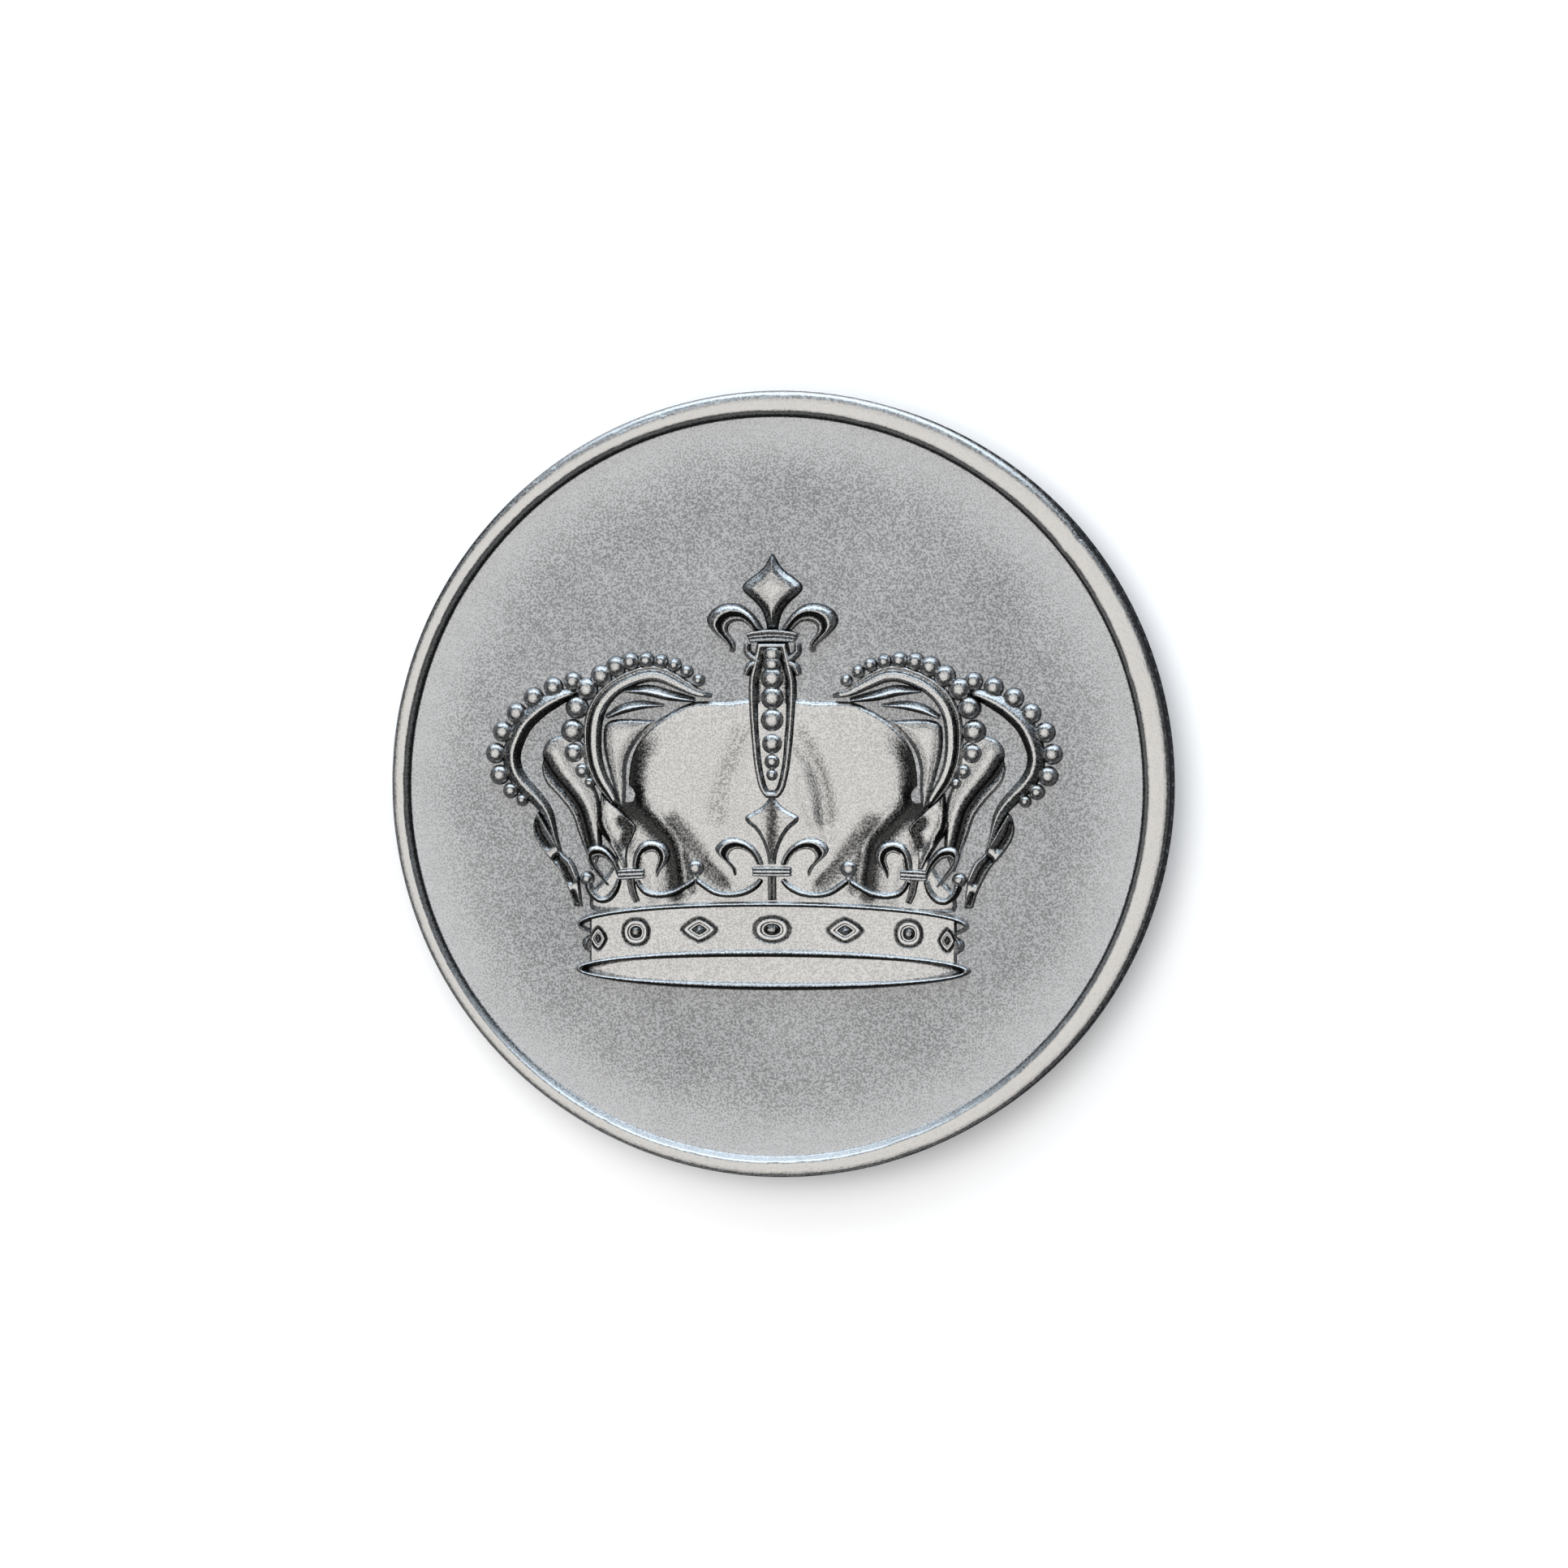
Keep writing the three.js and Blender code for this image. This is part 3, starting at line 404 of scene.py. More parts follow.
def ribbon(spine, along, across, ledge=0.0):
    """A net along a spine of (x, y, half width), wider by a ledge on its outer side."""
    run = smooth(spine, along)
    ahead = np.gradient(run[:, :2], axis=0)
    ahead /= np.linalg.norm(ahead, axis=1)[:, None]
    outward = np.column_stack([ahead[:, 1], -ahead[:, 0]])
    share = across_steps(across)
    reach = (run[:, 2:] + ledge) * (1 - share) - run[:, 2:] * share
    return run[:, None, :2] + outward[:, None] * reach[..., None]


steps = across_steps(18)
height = np.interp(steps, *SLAT_SECTION)
# painted shade down the lower side of each slat, and a painted highlight on its upper face
tone = ease((steps - 0.66) / 0.12) * 0.95 - 0.2 * (steps < 0.6)
for level, spine in (("upper", UPPER_SLAT), ("lower", LOWER_SLAT)):
    bar = heaped(ribbon(spine, 50, 18), height, tone)
    raise_pair("slat_bar_" + level, [bar], "slat_" + level)

# -------------------------------------- cap lobes
# A lobe of the cloth cap bulges out on each side, behind the middle arch. It is a low soft swell that
# the die leaves lightly frosted.
LOBE_OUTER = [(-3.6, 2.06), (-4.9, 2.1), (-5.42, 1.9), (-5.5, 1.3), (-5.38, 0.6), (-4.95, -0.9)]
LOBE_INNER = [(-3.72, 1.9), (-4.2, 1.45), (-4.52, 0.98), (-4.66, 0.45), (-4.66, -0.1), (-4.7, -0.8)]
net = span(LOBE_OUTER, LOBE_INNER, 60, 30)
inside = distance(net, outline(net))
height = FOOT + (0.09 - FOOT) * ease(inside / 0.16) + 0.06 * ease(inside / 0.45)
# painted shade along the lobe's outer edge
tone = 0.35 * ease((0.22 - inside) / 0.2) * (net[..., 0] < -4.9)
raise_pair("cap_bulge", [heaped(net, height, tone)], "cap_lobe", soft=True)

# -------------------------------------------- cap
# The cloth cap fills the crown from arch to circlet. It is struck as a shallow cushion: a rounded
# border, a swell, and the folds that gather towards the cresting.
CAP_EDGE = [
    (0, 2.72), (-0.8, 2.74), (-1.4, 2.66), (-2.0, 2.68), (-2.6, 2.64), (-3.2, 2.38), (-3.8, 2.0),
    (-4.3, 1.52), (-4.65, 1.0), (-4.78, 0.45), (-4.85, -0.15), (-5.1, -0.8), (-5.15, -1.6), (-5.1, -2.3),
    (-5.4, -2.9), (-5.85, -3.4), (-5.95, -3.95),
]
CAP_FOOT = [(-5.95, -3.95), (-5.5, -4.15), (-3.0, -4.1), (0, -4.05)]
CAP_MIDDLE = np.array([0, -1.0])
# (line, depth in mm where a valley is positive, width in mm)
CAP_FOLDS = [
    ([(-4.5, -0.4), (-4.3, -0.9), (-3.85, -1.4), (-3.4, -1.85), (-3.2, -2.4), (-3.12, -3.0),
      (-3.1, -3.5)], 0.07, 0.27),
    ([(-3.9, -0.8), (-3.4, -1.3), (-3.05, -1.8), (-2.9, -2.4), (-2.8, -3.1)], -0.035, 0.16),
    ([(-3.2, -1.2), (-2.75, -1.75), (-2.35, -2.25), (-2.05, -2.75), (-1.6, -3.2)], 0.045, 0.24),
    ([(-2.75, -2.3), (-2.62, -2.8), (-2.6, -3.4)], 0.04, 0.13),
    ([(-4.5, -2.0), (-4.1, -2.4), (-3.85, -3.0), (-3.8, -3.6)], -0.03, 0.2),
    ([(-1.0, 1.6), (-1.4, 0.6), (-1.7, -0.3), (-1.8, -1.0)], 0.022, 0.26),
    ([(-2.3, 2.0), (-2.6, 1.2), (-2.9, 0.4)], 0.008, 0.3),
    ([(-0.9, 0.0), (-1.1, -0.8), (-1.6, -1.5)], -0.015, 0.2),
    ([(-1.2, -3.4), (-1.5, -2.9), (-2.0, -2.4)], -0.02, 0.14),
]
RIGHT_CREASES = [
    ([(0.6, 1.5), (1.0, 1.0), (1.4, 0.4), (1.6, -0.2), (1.65, -0.8), (1.75, -1.6)], 0.035, 0.24),
    ([(1.0, 0.2), (1.2, -0.5), (1.3, -1.2)], -0.02, 0.2),
]
left_edge = smooth(CAP_EDGE + CAP_FOOT[1:], 170)
around = np.vstack([left_edge, (left_edge * (-1, 1))[-2:0:-1]])
share = (1 - (1 - np.linspace(0, 1, 90)) ** 1.35)[:, None, None]
net = CAP_MIDDLE * (1 - share) + around * share
inside = distance(net, np.vstack([around, around[:1]]))
flank = ease((np.abs(net[..., 0]) - 3.2) / 1.2)
flank = flank * ease((net[..., 1] + 2.6) / 1.4) * ease((2.0 - net[..., 1]) / 1.2)
height = FOOT + (0.1 - FOOT) * ease(inside / 0.2) + 0.04 * ease(inside / 1.3)
height = height + flank * 0.11 * (ease(inside / 0.85) - 1) * ease(inside / 0.12)
tone = 0.0
for mirrored in (1, -1):
    for line, depth, width in CAP_FOLDS:
        fold = ridge(net, [(mirrored * x, y) for x, y in line], width)
        height = height - depth * fold * ease(inside / 0.35)
        # painted shade in each valley, the deeper the valley the darker
        tone = tone + max(depth - 0.01, 0) * 17.0 * fold
for line, depth, width in RIGHT_CREASES:
    height = height - depth * ridge(net, line, width)
# painted shade down both flanks of the cap and round its foot
tone = tone + 0.95 * flank * ease((1.0 - inside) / 0.75) + 0.9 * ease((0.09 - inside) / 0.05)
tone = np.clip(tone, 0, 0.9)
raise_relief("cap_cloth", [heaped(net, height, tone, "dome")], "cap", soft=True)

# ------------------------------------ side leaves
# A leaf in two lobes hangs below each outer arch, down to the circlet. It is cut with a lit upper
# face, a hollow inside, and a thin lip round it.
SIDE_LEAF_OUTER = [
    (-7.58, -0.9), (-7.73, -1.2), (-7.74, -1.55), (-7.6, -1.9), (-7.3, -2.32), (-6.98, -2.68),
    (-6.74, -3.1), (-6.56, -3.5), (-6.42, -3.95),
]
SIDE_LEAF_INNER = [
    (-7.5, -0.92), (-7.36, -1.15), (-7.2, -1.42), (-6.98, -1.8), (-6.72, -2.25), (-6.42, -2.5),
    (-6.24, -2.9), (-6.16, -3.4), (-6.1, -3.95),
]
LEAF_HOLLOWS = [
    ([(-7.6, -1.25), (-7.5, -1.6), (-7.25, -2.0)], 0.12), ([(-6.95, -2.4), (-6.7, -2.7), (-6.5, -3.1)], 0.1),
    ([(-6.4, -3.5), (-6.28, -3.8)], 0.07),
]
LEAF_RIDGES = [
    ([(-7.5, -1.05), (-7.3, -1.4), (-7.0, -1.9)], 0.1), ([(-6.75, -2.25), (-6.5, -2.6), (-6.3, -3.05)], 0.1),
]
LEAF_SPLIT = [(-7.1, -2.55), (-6.9, -2.3), (-6.75, -2.05)]
net = span(SIDE_LEAF_OUTER, SIDE_LEAF_INNER, 90, 30)
inside = distance(net, outline(net))
hollow = sum(ridge(net, line, width) for line, width in LEAF_HOLLOWS)
lip = sum(ridge(net, line, width) for line, width in LEAF_RIDGES)
split = ridge(net, LEAF_SPLIT, 0.06)
height = FOOT + (0.2 - FOOT) * ease(inside / 0.08) + 0.07 * lip - 0.1 * hollow - 0.06 * split
# painted shade in the hollows, along the split and round the foot, and a painted highlight on the lips
leaf_shade = 0.95 * hollow + 0.5 * split + 0.7 * ease((0.07 - inside) / 0.05)
tone = np.clip(leaf_shade, 0, 0.9) - 0.25 * np.clip(lip, 0, 1)
raise_pair("side_leaf_cut", [heaped(net, height, tone)], "side_leaf")

# ----------------------------------- outer arches
# Each outer arch is a flat-topped rib with a row of pearls along its outer side, which grow towards
# its shoulder. The pearls are drilled as round hollows in the die, so they strike up as domes.
OUTER_ARCH = [
    (-6.3, 2.9, 0.12), (-6.95, 2.66, 0.25), (-7.5, 2.33, 0.28), (-8.0, 1.85, 0.29), (-8.28, 1.3, 0.29),
    (-8.38, 0.85, 0.28), (-8.3, 0.4, 0.27), (-8.05, 0.0, 0.26), (-7.7, -0.35, 0.23), (-7.4, -0.68, 0.2),
    (-7.2, -1.0, 0.17), (-7.06, -1.4, 0.11), (-6.95, -1.8, 0.07), (-6.8, -2.2, 0.04),
]
OUTER_PEARLS = [
    (-6.43, 3.25, 0.28), (-7.06, 3.06, 0.3), (-7.7, 2.72, 0.31), (-8.25, 2.23, 0.31), (-8.7, 1.64, 0.31),
    (-8.93, 0.95, 0.31), (-8.8, 0.26, 0.3), (-8.44, -0.24, 0.24), (-8.07, -0.54, 0.19),
]
# across the rib from its outer side to its inner side: share of the width, height in mm
RIB_SECTION = ((0, 0.07, 0.18, 0.44, 0.62, 0.7, 0.86, 1), (FOOT, 0.11, 0.17, 0.26, 0.27, 0.23, 0.08, FOOT))
# painted shade across the rib at the same shares, with a painted highlight where below 0
RIB_TONE = ((0, 0.07, 0.18, 0.4, 0.5, 0.62, 0.7, 1), (0.95, 0.7, 0.4, 0.3, -0.1, -0.1, 0.85, 0.95))
LEDGE = 0.06
PEARL_FULLNESS = 1.08


def softened(section, count):
    """A drawn section with its corners eased."""
    fine = np.linspace(0, 1, 241)
    values = np.interp(fine, *section)
    padded = np.pad(values, 8, mode="edge")
    eased = np.convolve(padded, np.hanning(17) / np.hanning(17).sum(), "valid")
    return np.interp(across_steps(count), fine, eased)


def rib(spine, along, across, section, tone, ledge=0.0):
    """A rib of one section, let down at both ends. Its walls carry painted shade, least where they face
    upwards, towards the window light.
    """
    net = ribbon(spine, along, across, ledge)
    run = np.linspace(0, 1, along)[:, None]
    ends = ease(run / 0.03) * ease((1 - run) / 0.03)
    height = FOOT + (softened(section, across) - FOOT) * (0.25 + 0.75 * ends)
    facing = (net[:, :1, 1] - net[:, -1:, 1]) / np.linalg.norm(net[:, :1] - net[:, -1:], axis=-1)
    facing = facing * np.where(across_steps(across) < 0.5, 1, -1)
    # painted shade from the section's table, lessened on walls that face upwards, towards the window light
    painted_shading = softened(tone, across) * np.where(facing > 0, 1 - 0.75 * facing, 1)
    return heaped(net, height, painted_shading)


def pearl(x, y, radius, rise=0.28, steps=36):
    """A domed pearl with painted shade round its foot."""
    turn = np.linspace(0, math.pi / 2, 12)
    radius = radius * PEARL_FULLNESS
    round_it = np.linspace(0, 2 * math.pi, steps, endpoint=False)
    out = radius * np.sin(turn)
    height = rise * np.clip(1 - np.sin(turn) ** 3.0, 0, 1) ** 0.52
    rows = np.zeros((13, steps, 4))
    rows[:12, :, 0] = x + out[:, None] * np.cos(round_it)
    rows[:12, :, 1] = y + out[:, None] * np.sin(round_it)
    rows[:12, :, 2] = height[:, None]
    # painted shade round the pearl's foot
    rows[:12, :, 3] = 0.8 * ease((out / radius - 0.86) / 0.14)[:, None]
    rows[12] = rows[11]
    rows[12, :, 2] = FOOT
    return rows, "dome"


bodies = [rib(OUTER_ARCH, 150, 26, RIB_SECTION, RIB_TONE, LEDGE)]
bodies += [pearl(x, y, radius) for x, y, radius in OUTER_PEARLS]
raise_pair("arch_rib_outer", bodies, "arch_outer")

# ---------------------------------- middle arches
# The middle arches are the same rib seen nearer: a flat light top, a steep outer wall, and pearls that
# grow from the cap's middle round to the shoulder.
MIDDLE_ARCH = [
    (-1.95, 2.76, 0.05), (-2.45, 2.88, 0.12), (-3.0, 3.16, 0.2), (-3.55, 3.42, 0.24), (-4.0, 3.46, 0.25),
    (-4.5, 3.32, 0.25), (-4.95, 3.1, 0.25), (-5.33, 2.78, 0.26), (-5.6, 2.38, 0.27), (-5.74, 1.9, 0.28),
    (-5.77, 1.3, 0.27), (-5.7, 0.7, 0.25), (-5.5, 0.15, 0.22), (-5.22, -0.3, 0.16), (-4.94, -0.74, 0.04),
]
MIDDLE_PEARLS = [
    (-2.37, 3.28, 0.19), (-2.75, 3.56, 0.2), (-3.14, 3.77, 0.21), (-3.58, 3.88, 0.22), (-4.06, 3.92, 0.25),
    (-4.57, 3.88, 0.27), (-5.04, 3.72, 0.31), (-5.51, 3.42, 0.33), (-5.98, 3.0, 0.34), (-6.3, 2.42, 0.35),
    (-6.44, 1.66, 0.36), (-6.4, 0.97, 0.31), (-6.12, 0.4, 0.24), (-5.88, 0.02, 0.18),
]
MIDDLE_SECTION = ((0, 0.05, 0.16, 0.24, 0.34, 0.46, 0.78, 0.86, 1),
                  (FOOT, 0.13, 0.17, 0.14, 0.15, 0.27, 0.27, 0.2, FOOT))
# painted shade across the middle rib: on its walls and feet, none on its ledge or its top
MIDDLE_TONE = ((0, 0.05, 0.17, 0.24, 0.42, 0.48, 0.78, 0.84, 1), (0.6, 0.1, 0.0, 0.95, 0.95, 0, 0, 0.7, 0.95))
bodies = [rib(MIDDLE_ARCH, 150, 28, MIDDLE_SECTION, MIDDLE_TONE, LEDGE)]
bodies += [pearl(x, y, radius, 0.29) for x, y, radius in MIDDLE_PEARLS]
raise_pair("arch_rib_middle", bodies, "arch_middle")

# ------------------------------------ centre arch
# The centre arch is seen from the front: a channel between two rails, with the pearls lying in it,
# largest in the middle and tapering to the fleur below.
CENTRE_CHANNEL = [
    (-0.5, 4.52), (-0.66, 3.8), (-0.77, 3.3), (-0.78, 2.7), (-0.75, 2.0), (-0.69, 1.3), (-0.62, 0.6),
    (-0.5, 0.0), (-0.38, -0.3), (-0.2, -0.5),
]
CENTRE_PEARLS = [
    (0, 4.12, 0.33), (0, 3.8, 0.31), (0, 3.35, 0.37), (0, 2.72, 0.37), (0, 2.02, 0.38), (0, 1.27, 0.34),
    (0, 0.7, 0.26), (0, 0.28, 0.2),
]
# in from the channel's side in mm: height in mm, and painted shade
RAIL_SECTION = ((0, 0.05, 0.1, 0.17, 0.22, 0.33, 0.42), (FOOT, 0.17, 0.27, 0.28, 0.24, 0.1, 0.08))
RAIL_TONE = ((0, 0.06, 0.1, 0.17, 0.22, 0.32, 0.38), (0.9, 0.6, 0.0, 0.0, 0.45, 0.75, 0.3))
net = span(CENTRE_CHANNEL, [(-x, y) for x, y in CENTRE_CHANNEL], 150, 64)
inside = distance(net, outline(net))
bodies = [heaped(net, np.interp(inside, *RAIL_SECTION), np.interp(inside, *RAIL_TONE))]
bodies += [pearl(x, y, radius * 0.97, 0.29, 44) for x, y, radius in CENTRE_PEARLS]
raise_relief("arch_rib_centre", bodies, "arch_centre")

# -------------------------------- shoulder leaves
# A small scrolled leaf sits on each shoulder of the centre arch, just below the finial's collar. It is
# struck as two short round rolls, one above the other.
SHOULDER_LEAF = [(-0.8, 4.45, 0.12), (-0.8, 4.2, 0.14), (-0.6, 3.98, 0.14), (-0.4, 3.86, 0.1)]
SHOULDER_FOOT = [(-0.45, 3.86, 0.14), (-0.72, 3.72, 0.16), (-0.86, 3.44, 0.1)]
ROUND_SECTION = ((0, 0.1, 0.3, 0.5, 0.7, 0.9, 1), (FOOT, 0.14, 0.25, 0.275, 0.25, 0.14, FOOT))
# painted shade on both walls of the roll
ROUND_TONE = ((0, 0.12, 0.26, 0.5, 0.74, 0.88, 1), (0.8, 0.5, 0, 0, 0, 0.5, 0.8))
bodies = [
    rib(SHOULDER_LEAF, 36, 20, ROUND_SECTION, ROUND_TONE),
    rib(SHOULDER_FOOT, 30, 20, ROUND_SECTION, ROUND_TONE),
]
raise_pair("shoulder_scroll", bodies, "shoulder_leaf")

# ------------------------------------- finial bud
# The pointed bud on top of the crown is faceted: a bevel runs all round it and meets in a ridge at
# the point and down the stem, with a flat lozenge between.
FINIAL_BUD = [
    (-0.03, 7.31), (-0.12, 7.18), (-0.25, 6.95), (-0.47, 6.72), (-0.76, 6.51), (-0.95, 6.33), (-0.97, 6.17),
    (-0.85, 6.0), (-0.6, 5.78), (-0.37, 5.5), (-0.25, 5.2), (-0.19, 4.9),
]
net = span(FINIAL_BUD, [(-x, y) for x, y in FINIAL_BUD], 130, 52)
inside = distance(net, outline(net))
height = np.interp(inside, (0, 0.04, 0.18, 0.3, 0.5), (FOOT, 0.1, 0.22, 0.26, 0.29))
# painted shade round the foot, and on the lower part of the bevel, which faces away from the window light
tone = 0.85 * ease((0.1 - inside) / 0.07)
tone = tone + 0.6 * ease((6.3 - net[..., 1]) / 0.5) * ease((0.34 - inside) / 0.16)
raise_relief("finial_bud_cut", [heaped(net, height, tone)], "finial_bud")

# ---------------------------------- finial petals
# A petal curls out and down on each side of the finial. It is full along its outer half, drops
# steeply inside the crest, and ends in a small lip along the inner edge and a knob at the tip.
FINIAL_PETAL_OUTER = [
    (-0.26, 4.88), (-0.45, 5.2), (-0.7, 5.48), (-1.0, 5.68), (-1.32, 5.74), (-1.65, 5.69), (-1.95, 5.52),
    (-2.12, 5.23), (-2.04, 4.97), (-1.83, 4.74), (-1.59, 4.54), (-1.4, 4.36), (-1.33, 4.2),
]
FINIAL_PETAL_INNER = [
    (-0.62, 4.86), (-0.7, 4.92), (-0.8, 5.03), (-0.95, 5.12), (-1.1, 5.14), (-1.25, 5.12), (-1.37, 5.04),
    (-1.42, 4.92), (-1.4, 4.8), (-1.31, 4.66), (-1.21, 4.52), (-1.17, 4.38), (-1.22, 4.2),
]
# across the petal from its outer edge to its inner edge: share of the width, then height in mm or painted
# shade, a painted highlight where below 0
PETAL_SECTION = ((0, 0.06, 0.2, 0.36, 0.46, 0.54, 0.68, 0.8, 0.9, 1),
                 (FOOT, 0.13, 0.24, 0.285, 0.285, 0.24, 0.15, 0.165, 0.14, FOOT))
PETAL_TONE = ((0, 0.07, 0.17, 0.38, 0.44, 0.5, 0.72, 0.81, 0.93, 1),
              (0.95, 0.65, -0.1, -0.1, 0.4, 0.88, 0.85, 0.0, 0.3, 0.9))


def petal(outer, inner, along=110, across=34):
    """A petal between its outer and inner edge, let down at its tips."""
    net = span(outer, inner, along, across)
    run = np.linspace(0, 1, along)[:, None]
    ends = ease((run + 0.01) / 0.04) * ease((1.01 - run) / 0.05)
    height = FOOT + (softened(PETAL_SECTION, across) - FOOT) * (0.2 + 0.8 * ends)
    return heaped(net, height, softened(PETAL_TONE, across))


bodies = [petal(FINIAL_PETAL_OUTER, FINIAL_PETAL_INNER), pearl(-1.29, 4.27, 0.1, 0.16, 20)]
raise_pair("finial_petal_curl", bodies, "finial_petal")

# ---------------------------------- finial collar
# The collar binds the finial's stem and petals: two bright rolls with a hollow band between them, struck
# in one with the rest of the crown.
FINIAL_COLLAR_TOP = [(-0.88, 4.79), (-0.6, 4.87), (0, 4.93), (0.6, 4.87), (0.88, 4.79)]
FINIAL_COLLAR_FOOT = [(-0.72, 4.46), (-0.4, 4.47), (0, 4.48), (0.4, 4.47), (0.72, 4.46)]
COLLAR_SECTION = ((0, 0.06, 0.15, 0.28, 0.36, 0.5, 0.72, 0.8, 0.92, 1),
                  (FOOT, 0.24, 0.295, 0.29, 0.2, 0.25, 0.21, 0.28, 0.25, FOOT))
# painted shade on the collar's walls and in the hollows between its rolls
COLLAR_TONE = ((0, 0.05, 0.12, 0.26, 0.34, 0.46, 0.68, 0.76, 0.93, 1),
               (0.8, 0.2, 0, 0, 0.75, 0.1, 0.45, 0, 0.1, 0.8))


def collar(net, section, tone):
    """A collar whose rolls run along it, let down at both ends."""
    inside = distance(net, outline(net))
    height = FOOT + (softened(section, net.shape[1]) - FOOT) * ease((inside + 0.02) / 0.07)
    return heaped(net, height, softened(tone, net.shape[1]))


net = span(FINIAL_COLLAR_TOP, FINIAL_COLLAR_FOOT, 70, 34)
raise_relief("finial_collar_rolls", [collar(net, COLLAR_SECTION, COLLAR_TONE)], "finial_collar")

# ------------------------------------- centre bud
# The bud of the centre fleur on the circlet is softer than the finial's: a low swell with a rounded
# edge, scored down the middle.
CENTRE_BUD = [
    (-0.03, -0.2), (-0.16, -0.46), (-0.36, -0.7), (-0.62, -0.86), (-0.86, -1.0), (-0.9, -1.14),
    (-0.82, -1.28), (-0.58, -1.48), (-0.37, -1.8), (-0.22, -2.2), (-0.16, -2.6),
]
net = span(CENTRE_BUD, [(-x, y) for x, y in CENTRE_BUD], 120, 48)
inside = distance(net, outline(net))
score = ridge(net, [(0, -0.55), (0.02, -1.2), (0, -2.3)], 0.2)
height = np.interp(inside, (0, 0.05, 0.16, 0.5), (FOOT, 0.18, 0.25, 0.275)) - 0.03 * score
# painted shade round the foot and down the score
tone = 0.9 * ease((0.09 - inside) / 0.06) + 0.75 * score * ease((inside - 0.1) / 0.1)
raise_relief("centre_bud_cut", [heaped(net, height, tone)], "centre_bud")

# ---------------------------------- centre petals
# The centre fleur's two petals curl as the finial's do, a little flatter. They come out of the same
# die, cut to the same section.
CENTRE_PETAL_OUTER = [
    (-0.22, -2.62), (-0.36, -2.25), (-0.6, -1.95), (-0.93, -1.75), (-1.3, -1.68), (-1.62, -1.77),
    (-1.86, -2.02), (-1.76, -2.26), (-1.52, -2.48), (-1.32, -2.7), (-1.2, -2.97),
]
CENTRE_PETAL_INNER = [
    (-0.5, -2.62), (-0.62, -2.38), (-0.78, -2.22), (-0.96, -2.14), (-1.14, -2.13), (-1.28, -2.2),
    (-1.34, -2.34), (-1.3, -2.48), (-1.2, -2.6), (-1.11, -2.76), (-1.14, -2.97),
]
raise_pair("centre_petal_curl", [petal(CENTRE_PETAL_OUTER, CENTRE_PETAL_INNER)], "centre_petal")

# -------------------------------------- side buds
# The side fleurs face outwards, so their buds show a narrow dark flank, a ridge, and a broad face
# that runs off to the point nearest the middle.
SIDE_BUD_OUTER = [
    (-5.53, -0.3), (-5.57, -0.7), (-5.64, -1.02), (-5.73, -1.28), (-5.6, -1.56), (-5.36, -1.86),
    (-5.08, -2.25), (-4.84, -2.75),
]
SIDE_BUD_INNER = [
    (-5.47, -0.3), (-5.1, -0.62), (-4.7, -0.96), (-4.32, -1.36), (-4.42, -1.74), (-4.58, -2.08),
    (-4.62, -2.4), (-4.6, -2.75),
]
BUD_RIDGE = [(-5.5, -0.35), (-5.45, -1.2), (-5.1, -2.0), (-4.78, -2.65)]
BUD_HOLLOW = [(-4.78, -1.22), (-4.58, -1.5), (-4.68, -1.9)]
BUD_FLANK = [(-5.55, -0.8), (-5.52, -1.35), (-5.28, -1.8)]
net = span(SIDE_BUD_OUTER, SIDE_BUD_INNER, 90, 40)
inside = distance(net, outline(net))
crest = ridge(net, BUD_RIDGE, 0.12)
hollow = ridge(net, BUD_HOLLOW, 0.19)
flank = ridge(net, BUD_FLANK, 0.12)
height = FOOT + (0.23 - FOOT) * ease(inside / 0.1) + 0.05 * crest - 0.07 * hollow - 0.05 * flank
# painted shade in the hollow, down the flank and round the foot
tone = np.clip(0.85 * hollow + flank + 0.9 * ease((0.11 - inside) / 0.06), 0, 0.95)
raise_pair("fleur_bud_cut", [heaped(net, height, tone)], "fleur_bud")

# ------------------------------------ side petals
# Each side fleur has a near petal that curls towards the middle, and a far petal that curls round
# the edge of the circlet and trails off in a thin tail.
NEAR_PETAL_OUTER = [
    (-4.52, -2.76), (-4.5, -2.4), (-4.4, -2.08), (-4.2, -1.85), (-3.9, -1.76), (-3.58, -1.81),
    (-3.34, -2.0), (-3.25, -2.26), (-3.36, -2.52), (-3.56, -2.76), (-3.68, -3.02),
]
NEAR_PETAL_INNER = [
    (-4.2, -2.76), (-4.16, -2.56), (-4.1, -2.4), (-4.0, -2.28), (-3.88, -2.23), (-3.76, -2.27),
    (-3.7, -2.38), (-3.72, -2.52), (-3.78, -2.66), (-3.8, -2.84), (-3.74, -3.04),
]
FAR_PETAL_OUTER = [
    (-4.86, -2.78), (-5.04, -2.36), (-5.3, -2.06), (-5.6, -1.93), (-5.88, -1.99), (-6.0, -2.24),
    (-5.92, -2.56), (-5.64, -2.92), (-5.3, -3.3),
]
FAR_PETAL_INNER = [
    (-4.98, -3.02), (-5.14, -2.7), (-5.36, -2.44), (-5.56, -2.36), (-5.72, -2.38), (-5.76, -2.46),
    (-5.68, -2.62), (-5.48, -2.88), (-5.2, -3.28),
]
raise_pair("fleur_curl_near", [petal(NEAR_PETAL_OUTER, NEAR_PETAL_INNER)], "fleur_petal_near")
raise_pair("fleur_curl_far", [petal(FAR_PETAL_OUTER, FAR_PETAL_INNER)], "fleur_petal_far")

